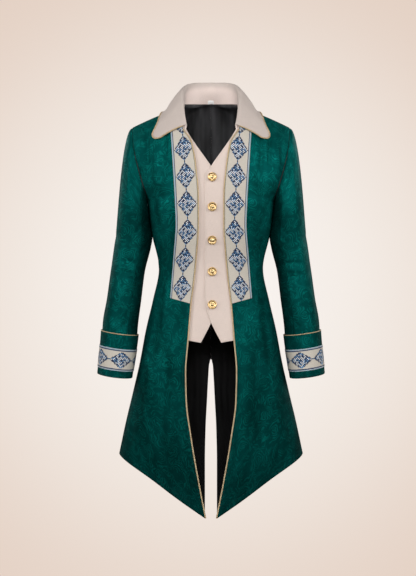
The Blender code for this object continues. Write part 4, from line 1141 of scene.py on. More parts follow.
class Nodes:
    """A short way to add nodes to one tree and link them."""

    def __init__(self, tree):
        self.tree = tree

    def node(self, kind, inputs=None, **settings):
        """Adds a node, with its settings and the values or links of its inputs."""
        made = self.tree.nodes.new(kind)
        for name, value in settings.items():
            setattr(made, name, value)
        for name, value in (inputs or {}).items():
            self.feed(made.inputs[name], value)
        return made

    def feed(self, socket, value):
        """Links a socket to another, or gives it a plain value."""
        if isinstance(value, bpy.types.NodeSocket):
            self.tree.links.new(value, socket)
        else:
            socket.default_value = value

    def dress(self, shader, **inputs):
        """Feeds a shader's inputs, whose names have _ for a space."""
        for name, value in inputs.items():
            self.feed(shader.inputs[name.replace("_", " ")], value)

    def math(self, operation, first, second=0.0, third=0.0, clamp=False):
        """One sum."""
        made = self.node("ShaderNodeMath", operation=operation, use_clamp=clamp)
        for socket, value in zip(made.inputs, (first, second, third)):
            self.feed(socket, value)
        return made.outputs[0]

    def times(self, first, second):
        """One value times another."""
        return self.math("MULTIPLY", first, second)

    def plus(self, first, second):
        """Two values added."""
        return self.math("ADD", first, second)

    def minus(self, first, second):
        """One value less another."""
        return self.math("SUBTRACT", first, second)

    def over(self, first, second):
        """One value divided by another."""
        return self.math("DIVIDE", first, second)

    def scaled(self, value, factor, start):
        """A value times a factor, with a start added."""
        return self.math("MULTIPLY_ADD", value, factor, start)

    def reach(self, first, second):
        """The distance that two distances at a right angle make."""
        return self.math("SQRT", self.plus(self.math("POWER", first, 2.0), self.math("POWER", second, 2.0)))

    def vector(self, operation, first, second):
        """One sum on vectors."""
        made = self.node("ShaderNodeVectorMath", operation=operation)
        self.feed(made.inputs[0], first)
        self.feed(made.inputs["Scale" if operation == "SCALE" else 1], second)
        return made.outputs["Vector"]

    def mix(self, share, first, second):
        """Two colours mixed."""
        return self.node("ShaderNodeMix", {0: share, 6: first, 7: second}, data_type="RGBA").outputs[2]

    def between(self, value, low, high):
        """0 below low and 1 above high, smooth between."""
        return self.node("ShaderNodeMapRange", {"Value": value, "From Min": low, "From Max": high},
                         interpolation_type="SMOOTHSTEP").outputs["Result"]

    def band(self, value, centre, half_width, soft):
        """1 within half_width of a centre, and 0 past a soft edge."""
        off = self.math("ABSOLUTE", self.minus(value, centre))
        return self.minus(1.0, self.between(off, half_width, half_width + soft))

    def noise(self, vector, scale, detail=2.0, output="Fac"):
        """Cloudy noise."""
        return self.node("ShaderNodeTexNoise", {"Vector": vector, "Scale": scale, "Detail": detail,
                                                "Roughness": 0.5}).outputs[output]

    def group(self, name, **inputs):
        """The outputs of a node group, made when first asked for."""
        tree = bpy.data.node_groups.get(name) or GROUPS[name]()
        made = self.node("ShaderNodeGroup", node_tree=tree)
        self.dress(made, **inputs)
        return made.outputs

    def bump(self, height, strength, distance, normal=None):
        """A bump from a height between 0 and 1."""
        made = self.node("ShaderNodeBump", {"Height": height, "Strength": strength, "Distance": distance})
        if normal is not None:
            self.feed(made.inputs["Normal"], normal)
        return made.outputs["Normal"]

    def place(self):
        """The cloth's place in its pattern, in metres."""
        return self.node("ShaderNodeUVMap", uv_map=CLOTH_UV).outputs[0]

    def point(self):
        """The point of the object in space."""
        return self.node("ShaderNodeTexCoord").outputs["Object"]

    def parts(self, vector):
        """The X, Y and Z of a vector."""
        return self.node("ShaderNodeSeparateXYZ", {"Vector": vector}).outputs

    def toned(self, colour, value):
        """A colour, lighter or darker."""
        return self.node("ShaderNodeHueSaturation", {"Color": colour, "Value": value}).outputs[0]


def srgb(red, green, blue):
    """A colour on screen, from 0 to 255, as a linear one."""
    return tuple(((v / 255 + 0.055) / 1.055) ** 2.4 if v > 10 else v / 255 / 12.92
                 for v in (red, green, blue))


def group_tree(name, inputs, outputs):
    """An empty shader group with named inputs and outputs: (name, kind, default) and names of numbers."""
    tree = bpy.data.node_groups.new(name, "ShaderNodeTree")
    for label, kind, default in inputs:
        socket = tree.interface.new_socket(label, in_out="INPUT", socket_type="NodeSocket" + kind)
        if default is not None:
            socket.default_value = default
    for label in outputs:
        tree.interface.new_socket(label, in_out="OUTPUT", socket_type="NodeSocketFloat")
    nodes = Nodes(tree)
    return tree, nodes, nodes.node("NodeGroupInput").outputs, nodes.node("NodeGroupOutput")


def weave_group():
    """Crossed threads: a height over the cloth, and a slow unevenness of the yarn."""
    tree, nodes, given, gives = group_tree(
        "crossed threads",
        (("Vector", "Vector", None), ("Thread", "Float", 0.0006), ("Slant", "Float", 0.0)),
        ("Height", "Unevenness"))
    parts = nodes.parts(given["Vector"])
    across = nodes.plus(parts["X"], nodes.times(parts["Y"], given["Slant"]))
    crossed = nodes.times(*(nodes.math("SINE", nodes.over(nodes.times(way, 2 * math.pi), given["Thread"]))
                            for way in (across, parts["Y"])))
    warp, weft = (nodes.noise(nodes.vector("MULTIPLY", given["Vector"], stretch), 1.0, 1.0)
                  for stretch in ((900.0, 90.0, 1.0), (90.0, 900.0, 1.0)))
    nodes.dress(gives, Height=nodes.scaled(crossed, 0.5, 0.5),
                Unevenness=nodes.times(nodes.plus(warp, weft), 0.5))
    return tree


def scroll_group():
    """A brocade figure of curling leaves: each cell holds one scroll, and fine veins run between them."""
    tree, nodes, given, gives = group_tree(
        "curling leaf figure",
        (("Vector", "Vector", None), ("Repeat", "Float", 0.045), ("Arms", "Float", 2.0),
         ("Coil", "Float", 46.0), ("Wander", "Float", 0.75)),
        ("Figure",))
    place = nodes.vector("SCALE", given["Vector"], nodes.over(1.0, given["Repeat"]))
    drift = nodes.vector("SUBTRACT", nodes.noise(place, 1.9, output="Color"), (0.5, 0.5, 0.5))
    place = nodes.vector("ADD", place, nodes.vector("SCALE", drift, given["Wander"]))
    place = nodes.vector("MULTIPLY", place, (1.0, 1.0, 0.0))
    cells, edges = (nodes.node("ShaderNodeTexVoronoi", {"Vector": place, "Scale": 1.0, "Randomness": 0.75},
                               voronoi_dimensions="2D", feature=feature).outputs
                    for feature in ("F1", "DISTANCE_TO_EDGE"))
    local = nodes.parts(nodes.vector("SUBTRACT", place, cells["Position"]))
    chance = nodes.node("ShaderNodeSeparateColor", {"Color": cells["Color"]}).outputs
    hand = nodes.math("SIGN", nodes.minus(chance["Red"], 0.5))
    turn = nodes.times(nodes.math("ARCTAN2", local["Y"], local["X"]), given["Arms"])
    coil = nodes.times(nodes.math("POWER", cells["Distance"], 0.8), given["Coil"])
    phase = nodes.plus(nodes.plus(nodes.times(turn, hand), coil), nodes.times(chance["Green"], 6.283))
    scroll = nodes.between(nodes.math("SINE", phase), -0.45, 0.95)
    inside = nodes.between(edges["Distance"], 0.05, 0.14)
    veins = nodes.between(nodes.math("SINE", nodes.times(edges["Distance"], 95.0)), -0.3, 0.9)
    drawn = nodes.plus(nodes.times(scroll, inside), nodes.times(veins, nodes.minus(1.0, inside)))
    breaks = nodes.between(nodes.noise(place, 2.6, 1.0), 0.38, 0.56)
    nodes.dress(gives, Figure=nodes.times(drawn, breaks))
    return tree


def diamond_group():
    """A woven diamond on counted threads: its outline in steps, and a fine fretwork inside it."""
    tree, nodes, given, gives = group_tree(
        "woven diamond",
        (("Short", "Float", 0.0), ("Long", "Float", 0.0), ("Half Short", "Float", 0.0235),
         ("Half Long", "Float", 0.0325), ("Cell", "Float", 0.0019)),
        ("Inside", "Dark", "Pale"))
    i, j = (nodes.math("ROUND", nodes.over(given[way], given["Cell"])) for way in ("Short", "Long"))
    reach = nodes.plus(*(nodes.over(nodes.times(nodes.math("ABSOLUTE", count), given["Cell"]), given[half])
                         for count, half in ((i, "Half Short"), (j, "Half Long"))))
    inside = nodes.math("LESS_THAN", reach, 1.0)
    rim = nodes.math("GREATER_THAN", reach, 0.88)
    cell = nodes.node("ShaderNodeCombineXYZ", {"X": i, "Y": j}).outputs[0]
    chance = nodes.node("ShaderNodeTexWhiteNoise", {"Vector": cell}, noise_dimensions="2D").outputs["Value"]
    other = nodes.math("FLOORED_MODULO", nodes.plus(i, j), 2.0)
    tone = nodes.scaled(chance, 0.62, nodes.times(other, 0.38))
    dark = nodes.math("MAXIMUM", nodes.math("GREATER_THAN", tone, 0.43),
                      nodes.times(rim, nodes.math("GREATER_THAN", chance, 0.30)))
    pale = nodes.times(nodes.math("LESS_THAN", tone, 0.30), nodes.math("LESS_THAN", reach, 0.86))
    nodes.dress(gives, Inside=inside, Dark=nodes.times(dark, inside), Pale=nodes.times(pale, inside))
    return tree


GROUPS = {
    "crossed threads": weave_group, "curling leaf figure": scroll_group, "woven diamond": diamond_group,
}


def new_finish(name, **constants):
    """A material with its shader's own values set, its nodes and its shader."""
    made = bpy.data.materials.new(name)
    made.use_nodes = True
    nodes, shader = Nodes(made.node_tree), made.node_tree.nodes["Principled BSDF"]
    nodes.dress(shader, **constants)
    return made, nodes, shader


def rgba(colour):
    """A colour with full alpha."""
    return (*colour, 1.0)


def brocade_finish(looks, name, shade):
    """Green brocade: a satin figure on a duller ground, in two shades of one green, with painted shade and
    painted sheen in its colour.
    """
    made, nodes, shader = new_finish(name, Specular_IOR_Level=0.0, Metallic=0.36)
    place = nodes.place()
    figure = nodes.group("curling leaf figure", Vector=place, Repeat=looks.figure_repeat)["Figure"]
    threads = nodes.group("crossed threads", Vector=place, Thread=0.0005, Slant=1.0)
    cloud = nodes.noise(place, 9.0, 3.0)
    share = nodes.math("MULTIPLY", figure, nodes.scaled(cloud, 1.1, 0.1), clamp=True)
    colour = nodes.mix(share, rgba(looks.brocade_ground), rgba(looks.brocade_figure))
    # Painted shade: the colour darkens by height down the coat towards the hem, times the shade given for
    # this copy
    hem_shade_paint = nodes.node("ShaderNodeMapRange", {
        "Value": nodes.parts(nodes.point())["Z"], "From Min": HEM_SHADE_HEIGHT, "From Max": 0.0,
        "To Min": HEM_SHADE * shade, "To Max": shade}).outputs[0]
    # Painted sheen: soft streaks that lighten and darken the colour, for satin sheen and the shade of folds
    sheen = nodes.between(nodes.noise(nodes.vector("MULTIPLY", place, PAINTED_SHEEN_STRETCH), 1.0), 0.32, 0.68)
    # The tone mixes the yarn's real unevenness with the painted shade and the painted sheen
    uneven = nodes.times(nodes.scaled(threads["Unevenness"], 0.5, 0.75),
                         nodes.times(hem_shade_paint, nodes.scaled(sheen, 0.5, 0.8)))
    nodes.dress(shader, Base_Color=nodes.toned(colour, uneven), Roughness=nodes.scaled(figure, -0.10, 0.52),
                Normal=nodes.bump(threads["Height"], 0.35, 0.00012, nodes.bump(figure, 0.6, 0.0003)))
    return made


def lining_finish(looks):
    """Black satin with soft streaks along its warp, painted lighter in the neck for the light there."""
    made, nodes, shader = new_finish("lining_satin", Specular_IOR_Level=0.15)
    place = nodes.place()
    threads = nodes.group("crossed threads", Vector=place, Thread=0.0004, Slant=0.3)
    soft = nodes.noise(nodes.vector("MULTIPLY", place, (26.0, 7.0, 1.0)), 1.0)
    # Painted light: the satin's colour turns lighter up in the neck
    neck = nodes.between(nodes.parts(nodes.point())["Z"], *NECK_PAINTED_GLEAM)
    colour = nodes.mix(neck, rgba(looks.lining), rgba(looks.lining_neck_painted_light))
    tone = nodes.scaled(nodes.between(soft, 0.3, 0.72), 1.5, 0.35)
    nodes.dress(shader, Base_Color=nodes.toned(colour, tone),
                Roughness=nodes.scaled(threads["Unevenness"], 0.2, 0.38),
                Normal=nodes.bump(threads["Height"], 0.2, 0.0001, nodes.bump(soft, 0.5, 0.004)))
    return made


def cream_finish(name, colour, stand=None, glow=0.0):
    """Cream cloth of crossed threads, faintly slubbed, with a painted glow of light where one is given.

    A stand colour, painted lighter than the leaf for light inside the stand, takes the place of the other on
    the collar's stand.
    """
    made, nodes, shader = new_finish(name, Specular_IOR_Level=0.25, Sheen_Weight=0.12, Sheen_Roughness=0.5,
                                     Emission_Color=(1.0, 1.0, 1.0, 1.0), Emission_Strength=glow)
    place = nodes.place()
    threads = nodes.group("crossed threads", Vector=place, Thread=0.0007, Slant=0.0)
    cloud = nodes.noise(place, 14.0, 3.0)
    tone = nodes.plus(nodes.scaled(threads["Unevenness"], 0.22, 0.84), nodes.times(cloud, 0.1))
    shown = rgba(colour)
    if stand is not None:
        # Painted light: the stand takes the lighter cream
        shown = nodes.mix(nodes.between(nodes.parts(place)["Y"], *STAND_PAINTED_LIGHT_EDGE), rgba(stand), shown)
    nodes.dress(shader, Base_Color=nodes.toned(shown, tone),
                Roughness=nodes.scaled(threads["Unevenness"], 0.2, 0.68),
                Normal=nodes.bump(threads["Height"], 0.4, 0.0002))
    return made


def ribbon_finish(looks, name, stripes, first, pitch, half_short, half_long, centre):
    """A woven band: cream ground, edge stripes and a row of diamonds along it.

    The band's UV has its place across the band, then its place along it, where first is the middle of one
    diamond. Stripes has a row for each stripe: place across, half width, whether it is dark.
    """
    made, nodes, shader = new_finish(name, Specular_IOR_Level=0.3, Sheen_Weight=0.1, Sheen_Roughness=0.4)
    place = nodes.place()
    parts = nodes.parts(place)
    across = nodes.minus(parts["X"], centre)
    shifted = nodes.over(nodes.minus(parts["Y"], first), pitch)
    along = nodes.times(nodes.minus(shifted, nodes.math("ROUND", shifted)), pitch)
    diamond = nodes.group("woven diamond", Short=across, Long=along, Half_Short=half_short,
                          Half_Long=half_long, Cell=looks.diamond_cell)
    half_pitch = nodes.minus(nodes.math("ABSOLUTE", along), pitch / 2)
    dot = nodes.math("LESS_THAN", nodes.reach(half_pitch, across), DOT_RADIUS)
    threads = nodes.group("crossed threads", Vector=place, Thread=0.0012, Slant=1.0)
    slant = nodes.times(nodes.plus(parts["X"], parts["Y"]), 2 * math.pi / TWILL_PITCH)
    twill = nodes.scaled(nodes.math("SINE", slant), 0.5, 0.5)
    colour = nodes.mix(twill, rgba(looks.ribbon_ground), rgba(looks.ribbon_shade))
    for share, shown in ((diamond["Inside"], looks.ribbon_light), (diamond["Pale"], looks.ribbon_pale),
                         (nodes.math("MAXIMUM", diamond["Dark"], dot), looks.ribbon_navy)):
        colour = nodes.mix(share, colour, rgba(shown))
    raised = nodes.scaled(diamond["Inside"], 0.6, nodes.times(diamond["Dark"], 0.4))
    for stripe_place, half_width, dark in stripes:
        stripe = nodes.band(parts["X"], stripe_place, half_width, 0.0002)
        colour = nodes.mix(stripe, colour, rgba(looks.stripe_dark if dark else looks.stripe_light))
        raised = nodes.math("MAXIMUM", raised, nodes.times(stripe, 0.8))
    colour = nodes.toned(colour, nodes.scaled(threads["Unevenness"], 0.3, 0.85))
    nodes.dress(shader, Base_Color=colour, Roughness=nodes.scaled(raised, -0.18, 0.68),
                Normal=nodes.bump(twill, 0.3, 0.0002, nodes.bump(raised, 0.6, 0.0004)))
    return made


def cord_finish(looks):
    """Tan and gold thread twisted together: fine plies on each strand, and a dull metallic gleam."""
    made, nodes, shader = new_finish("cord_thread", Specular_IOR_Level=0.5, Metallic=0.15)
    place = nodes.place()
    parts = nodes.parts(place)
    twist = nodes.minus(nodes.times(parts["X"], CORD_STRANDS),
                        nodes.over(parts["Y"], looks.cord_pitch / CORD_STRANDS))
    plies = nodes.math("SINE", nodes.times(twist, 2 * math.pi * CORD_PLIES))
    uneven = nodes.noise(nodes.vector("MULTIPLY", place, (2.0, 160.0, 1.0)), 1.0)
    share = nodes.math("MULTIPLY_ADD", plies, 0.22, uneven, clamp=True)
    nodes.dress(shader, Base_Color=nodes.mix(share, rgba(looks.cord_dark), rgba(looks.cord_light)),
                Roughness=nodes.scaled(uneven, 0.25, 0.3),
                Normal=nodes.bump(nodes.scaled(plies, 0.5, 0.5), 0.5, 0.0002))
    return made


def gold_finish(looks):
    """Pale brass buttons, a paler gold from partway out towards the middle, with fine spots."""
    made, nodes, shader = new_finish("button_gold", Metallic=0.9)
    point = nodes.point()
    towards_middle = nodes.between(nodes.parts(nodes.place())["Y"], 0.35, 0.9)
    spots = nodes.noise(point, 900.0, 3.0)
    share = nodes.math("MULTIPLY_ADD", spots, 0.35, nodes.times(towards_middle, 0.8), clamp=True)
    nodes.dress(shader, Base_Color=nodes.mix(share, rgba(looks.gold_dark), rgba(looks.gold)),
                Roughness=nodes.scaled(spots, 0.18, 0.28),
                Normal=nodes.bump(nodes.noise(point, 2600.0), 0.12, 0.0001))
    return made


def thread_finish(name, colour):
    """Sewing thread, a little uneven along its length."""
    made, nodes, shader = new_finish(name, Specular_IOR_Level=0.4)
    tone = nodes.scaled(nodes.noise(nodes.point(), 1800.0), 0.5, 0.75)
    nodes.dress(shader, Base_Color=nodes.toned(rgba(colour), tone), Roughness=nodes.scaled(tone, -0.2, 0.7))
    return made


PLAIN_FINISHES = {"lining": lining_finish, "cord": cord_finish, "gold": gold_finish}


def finish(name):
    """A finish by its short name, made when a piece first asks for it."""
    known = bpy.data.materials.get(FINISH_NAMES[name])
    if known:
        return known
    looks = bpy.context.scene.tailcoat_looks
    if name in BROCADE_PAINTED_SHADES:
        return brocade_finish(looks, FINISH_NAMES[name], BROCADE_PAINTED_SHADES[name])
    if name == "front_band":
        return ribbon_finish(looks, name, FRONT_STRIPES, ribbon_lengths()[2], DIAMOND_PITCH,
                             DIAMOND_HALF_SHORT, DIAMOND_HALF_LONG, DIAMOND_CENTRE)
    if name == "cuff_band":
        return ribbon_finish(looks, name, CUFF_STRIPES, 0.0, cuff_ribbon_round() / CUFF_DIAMONDS,
                             CUFF_DIAMOND_HALF_SHORT, CUFF_DIAMOND_HALF_LONG,
                             (CUFF_RIBBON_TO - CUFF_RIBBON_FROM) / 2)
    if name in PLAIN_FINISHES:
        return PLAIN_FINISHES[name](looks)
    # The neck binding takes the stand's lighter, painted-light cream
    colours = {"facing": looks.facing, "vest": looks.vest, "band_back": looks.ribbon_ground,
               "label": looks.label, "binding": looks.stand, "collar": looks.collar}
    return cream_finish(FINISH_NAMES[name], colours[name], looks.stand if name == "collar" else None,
                        LABEL_PAINTED_GLOW if name == "label" else 0.0)


# Builders of the pieces

def body_sheets(name, node, slot, levels, runs, outs, wall, looks, relief, uv=None):
    """A pair of sheets of cloth on the body. Levels has a value for each row of runs, or for each run.

    Outs says how far the left and the right sheet lie outside the middle of the coat's wall.
    """
    level = levels if levels.ndim == 2 else np.broadcast_to(levels[:, None], runs.shape)
    normals = body_normal(level, runs)
    for (word, side), out in zip(SIDES, outs):
        height = (out + relief(level, runs, side))[..., None]
        middle = mirror(body_at(level, runs) + normals * height, side)
        places = paired(runs * side + FRONT_PLACE, down_run(level)) if uv is None else uv
        cloth(f"{name}_{word}", middle, mirror(normals, side), wall, places, looks, slot, [f"{node}_{word}"])


def sheet_levels(first, last, count):
    """Levels from one to another, with a narrow rim at each end."""
    return first + (last - first) * rimmed(count, abs(float(down_run(last) - down_run(first))))


def sheet_runs(first, last, count):
    """Runs between two edges, given for each level, with a narrow rim at each."""
    shares = rimmed(count, float(np.median(last - first)))
    return first[:, None] + (last - first)[:, None] * shares


def back_columns(levels, inset, count):
    """Runs of the back from its inner edge to the side seam, the inner edge drawn in by an inset."""
    edge = back_edge_run(levels) + np.where((levels > NECK_BACK_LEVEL) | (levels < VENT_LEVEL), inset, 0.0)
    return sheet_runs(edge, side_run(levels) - SEAM, count)


def make_fronts():
    """The two fronts, from the shoulder seam to the tails."""
    levels = sheet_levels(FIRST_LEVEL, LAST_LEVEL, FRONT_MESH[0])
    runs = sheet_runs(FRONT_EDGE_RUN(levels), side_run(levels) - SEAM, FRONT_MESH[1])
    body_sheets("front_cloth", "front", "brocade", levels, runs, (0.0, 0.0), COAT_WALL,
                ("brocade", "facing"), front_relief)


def make_backs():
    """The two backs, from the shoulder seam to the tails."""
    levels = sheet_levels(-FIRST_LEVEL, -LAST_LEVEL, BACK_MESH[0])
    runs = back_columns(levels, 0.0, BACK_MESH[1])
    body_sheets("back_cloth", "back", "brocade", levels, runs, (0.0, 0.0), COAT_WALL,
                ("brocade", "lining"), back_relief)


def make_linings():
    """The black linings inside the backs."""
    levels = sheet_levels(-FIRST_LEVEL, LINING_INSET * LEVELS_PER_METRE - LAST_LEVEL, LINING_MESH[0])
    runs = back_columns(levels, LINING_INSET, LINING_MESH[1])
    body_sheets("lining_satin", "lining", "lining", levels, runs, (LINING_OUT, LINING_OUT), LINING_WALL,
                ("lining", "lining"), lining_relief)


def ribbon_lengths():
    """Levels down the front ribbon, the distance along its middle at each, and that of its last diamond."""
    levels = np.linspace(1.2, 9.4, 400)
    points = body_at(levels, RIBBON_EDGE_RUN(levels) - RIBBON_SIDE_INSET - DIAMOND_CENTRE)
    lengths = distances(points)
    return levels, lengths, float(np.interp(-LAST_DIAMOND_HEIGHT, -points[:, 2], lengths))


def make_front_ribbons():
    """The woven bands along the fronts, cut off on a slant below the waist."""
    shares = rimmed(RIBBON_MESH[1], float(RIBBON_EDGE_RUN(5) - FRONT_EDGE_RUN(5)))
    ends = np.interp(shares, (0, 0.5, 1), RIBBON_CUT_LEVELS)
    rows = rimmed(RIBBON_MESH[0], float(down_run(9.0) - down_run(RIBBON_TOP_LEVEL)))
    level = RIBBON_TOP_LEVEL + (ends[None, :] - RIBBON_TOP_LEVEL) * rows[:, None]
    edge = FRONT_EDGE_RUN(level) + RIBBON_INSET
    far = RIBBON_EDGE_RUN(level) - RIBBON_SIDE_INSET
    run = edge + (far - edge) * shares[None, :]
    known_levels, lengths, _ = ribbon_lengths()
    body_sheets("front_band", "front_ribbon", "ribbon", level, run, (RIBBON_OUT, RIBBON_OUT), RIBBON_WALL,
                ("front_band", "band_back"), ribbon_relief,
                paired(far - run, np.interp(level, known_levels, lengths)))


def make_vest():
    """The false waistcoat: two fronts, the left lapping over the right."""
    shares = rimmed(VEST_MESH[1], VEST_WIDTH)
    rows = rimmed(VEST_MESH[0], float(down_run(VEST_BOTTOM_LEVEL)))
    ends = VEST_BOTTOM_LEVEL - VEST_SLOPE * shares
    levels = FIRST_LEVEL + (ends[None, :] - FIRST_LEVEL) * rows[:, None]
    inner = VEST_EDGE_RUN(levels)
    tuck = (FRONT_EDGE_RUN(levels) + RIBBON_EDGE_RUN(np.minimum(levels, 10))) / 2
    runs = inner + (tuck - inner) * shares[None, :]
    body_sheets("waistcoat", "vest", "cream", levels, runs, VEST_OUTS, VEST_WALL, ("vest", "vest"),
                vest_relief)


def make_buttons():
    """Domed buttons on the placket, with a ring near the rim and a boss in the middle."""
    shares, rises = np.array(BUTTON_SPIN).T
    turns = 2 * math.pi * np.arange(BUTTON_FINE_SIDES) / BUTTON_FINE_SIDES
    levels = np.linspace(3, 10, 400)
    heights = body_at(levels, BUTTON_X)[:, 2]
    for number, height in enumerate(BUTTON_HEIGHTS, 1):
        level = float(np.interp(-height, -heights, levels))
        normal = body_normal(np.array(level), np.array(BUTTON_X))
        base = body_at(level, BUTTON_X) + normal * (VEST_OUTS[0] + VEST_WALL / 2 + SKIN_GAP)
        right = unit(np.cross((0, 0, 1), normal))
        up = np.cross(normal, right)
        rim = right * np.cos(turns)[:, None] + up * np.sin(turns)[:, None]
        rings = (base + rim[None] * (BUTTON_RADIUS * shares)[:, None, None]
                 + normal * (rises * MM)[:, None, None])
        piece = rings_mesh(f"brass_button_{number}", rings, np.linspace(0, 1, len(shares)), finish("gold"),
                           [base, base + normal * BUTTON_TOP])
        settle(piece, "gold", f"button_{number}")


def sleeve_lengths(places):
    """Distance along the sleeve's front for places along it."""
    return distances(sleeve_at(np.full_like(places, 60.0), places))


def sleeve_places(count):
    """Places along a sleeve, evenly far apart, with a narrow rim at each end."""
    fine = np.linspace(0, len(SLEEVE), 901)
    lengths = sleeve_lengths(fine)
    return np.interp(rimmed(count, lengths[-1]) * lengths[-1], lengths, fine)


def tube_grid(angles, places, surface, relief, side, place_step, lowest=-1e9, highest=1e9):
    """The middle and the normals of a sheet on a sleeve, from angles round it and places along it."""
    angle, place = np.meshgrid(angles, places)
    base = surface(angle, place)
    normals = surface_normals(surface, angle, place, place_step, lowest, highest)
    turned = (angle + 180) % 360 - 180
    height = relief(turned, place, base[..., 2], side)[..., None]
    return mirror(base + normals * height, side), mirror(normals, side)


def make_sleeves():
    """Two-piece sleeves: the upper sleeve, and the under sleeve against the body."""
    places = sleeve_places(SLEEVE_ROWS)
    lengths = sleeve_lengths(places)
    for kind, first, last, columns, width, look in SLEEVE_PIECES:
        angles = first + (last - first) * rimmed(columns, width)
        for word, side in SIDES:
            middle, normals = tube_grid(angles, places, sleeve_at, sleeve_relief, side, SLEEVE_STEP, 0.0,
                                        float(len(SLEEVE)))
            across = np.radians(angles) * SLEEVE_RADIUS * side + SLEEVE_PLACE
            uv = paired(across[None, :], lengths[:, None])
            cloth(f"{kind}_cloth_sleeve_{word}", middle, normals, COAT_WALL, uv, (look, "lining"), "brocade",
                  [f"{kind}_sleeve_{word}"])


def make_cuffs():
    """Cuffs over the sleeve ends, each with its woven band. Its UV has the place across, then along it."""
    for word, side in SIDES:
        for name, node, slot, first, last, mesh, out, wall, outer, inner, start in CUFF_PIECES:
            angles = start + 360 * np.arange(mesh[1]) / mesh[1]
            downs = first + (last - first) * rimmed(mesh[0], last - first)

            def surface(angle, down, out=out):
                return cuff_at(angle, down, out)

            all_round = np.append(angles, angles[0] + 360)
            around = distances(surface(all_round, np.full(mesh[1] + 1, (first + last) / 2)))
            if slot == "ribbon":
                uv = paired((downs - first)[:, None], around[None, :])
            else:
                uv = paired(around[None, :] * side + CUFF_PLACE, downs[:, None])
            middle, normals = tube_grid(angles, downs, surface, no_relief, side, MM)
            cloth(f"{name}_{word}", middle, normals, wall, uv, (outer, inner), slot, [f"{node}_{word}"],
                  around=True)


def cuff_ribbon_round():
    """The distance round the middle of the cuff's band."""
    angles = np.linspace(0, 360, 721)
    middle = cuff_at(angles, np.full_like(angles, (CUFF_RIBBON_FROM + CUFF_RIBBON_TO) / 2), RIBBON_OUT)
    return float(distances(middle)[-1])


def make_tapes():
    """A tape inside each armhole, over the seam of sleeve and body."""
    angles = np.arange(-180, 180, TAPE_STEP)
    share = np.abs(angles) / 180
    back, front = (np.interp(share, path[0], np.linspace(0, last, 121))
                   for path, last in ((ARMHOLE_BACK, -6), (ARMHOLE_FRONT, 6)))
    level = np.where(angles >= 0, front, back)
    run = side_run(level)
    body, sleeve = body_at(level, run), armhole_at(angles)
    under = ease(np.abs(angles), *TAPE_UNDER)[:, None]
    inwards = unit(body_at(level, run - TAPE_REACH) - body)
    inwards = unit(inwards * (1 - under) + np.array((0, 0, -1)) * under)
    near = np.full(len(angles), TAPE_NEAR)
    outwards = unit(sleeve_at(angles, near) - sleeve)
    body_out = unit(body_normal(level, run - MM) * (1 - under) + np.array((1, 0, 0)) * under)
    sleeve_out = surface_normals(sleeve_at, angles.astype(float), near, SLEEVE_STEP, 0.0)
    seam = (body + sleeve) / 2
    to_hole = unit((seam.mean(axis=0) - seam) * (0, 1, 1))
    middle = np.array([body + inwards * TAPE_REACH - body_out * TAPE_OUT,
                       body + inwards * MM - body_out * TAPE_OUT,
                       seam + to_hole * TAPE_OUT,
                       sleeve + outwards * MM - sleeve_out * TAPE_OUT,
                       sleeve + outwards * TAPE_REACH - sleeve_out * TAPE_OUT])
    normals = np.array([body_out, body_out, -to_hole, sleeve_out, sleeve_out])
    around = np.arange(len(angles) + 1) * math.radians(TAPE_STEP) * TAPE_RADIUS
    uv = paired(around[None, :], np.linspace(0, 2 * TAPE_REACH, 5)[:, None])
    for word, side in SIDES:
        cloth("armhole_tape_" + word, mirror(middle, side), mirror(normals, side), TAPE_WALL, uv,
              ("lining", "lining"), "lining", [], around=True)


def make_collar():
    """The collar, a stand with a leaf turned down over the coat, and what is sewn inside the stand."""
    grid = collar_grid()
    normals = grid_normals(grid)
    uv = paired(distances(grid[:, -1])[:, None], distances(grid[len(grid) // 2])[None, :])
    cloth("collar_cloth", grid, normals, COLLAR_WALL, uv, ("collar", "collar"), "cream", ["collar"])
    make_label(grid)
    make_neck_facing(grid, normals)
    make_cords(grid, normals)


def make_label(grid):
    """A bare label on the inside of the collar's stand, at the centre back."""
    centre, top = len(grid) // 2, 2 * COLLAR_FINE_ACROSS
    width, height, wall = LABEL_SIZE
    stations = [centre + step for step in (-COLLAR_FINE_ALONG, 0, COLLAR_FINE_ALONG)]
    lows, highs = grid[stations, 0], grid[stations, top]
    share = width / 2 / np.linalg.norm(lows[0] - lows[1])
    lows = lows[1] + (lows - lows[1]) * share
    highs = highs[1] + (highs - highs[1]) * share
    ups, lengths = unit(highs - lows), np.linalg.norm(highs - lows, axis=-1, keepdims=True)
    inward = unit(np.cross(ups[1], lows[0] - lows[2]))
    out = inward * (COLLAR_WALL / 2 + CORD_GAP + wall / 2)
    middle = np.array([lows + ups * (lengths * LABEL_SHARE + height * rise) + out for rise in LABEL_ROWS])
    normals = np.broadcast_to(inward, middle.shape).copy()
    uv = paired(np.array([0, 0.5, 1])[None, :] * width, np.linspace(0, height, len(LABEL_ROWS))[:, None])
    cloth("neck_label", middle, normals, wall, uv, ("label", "label"), "label", ["label"])


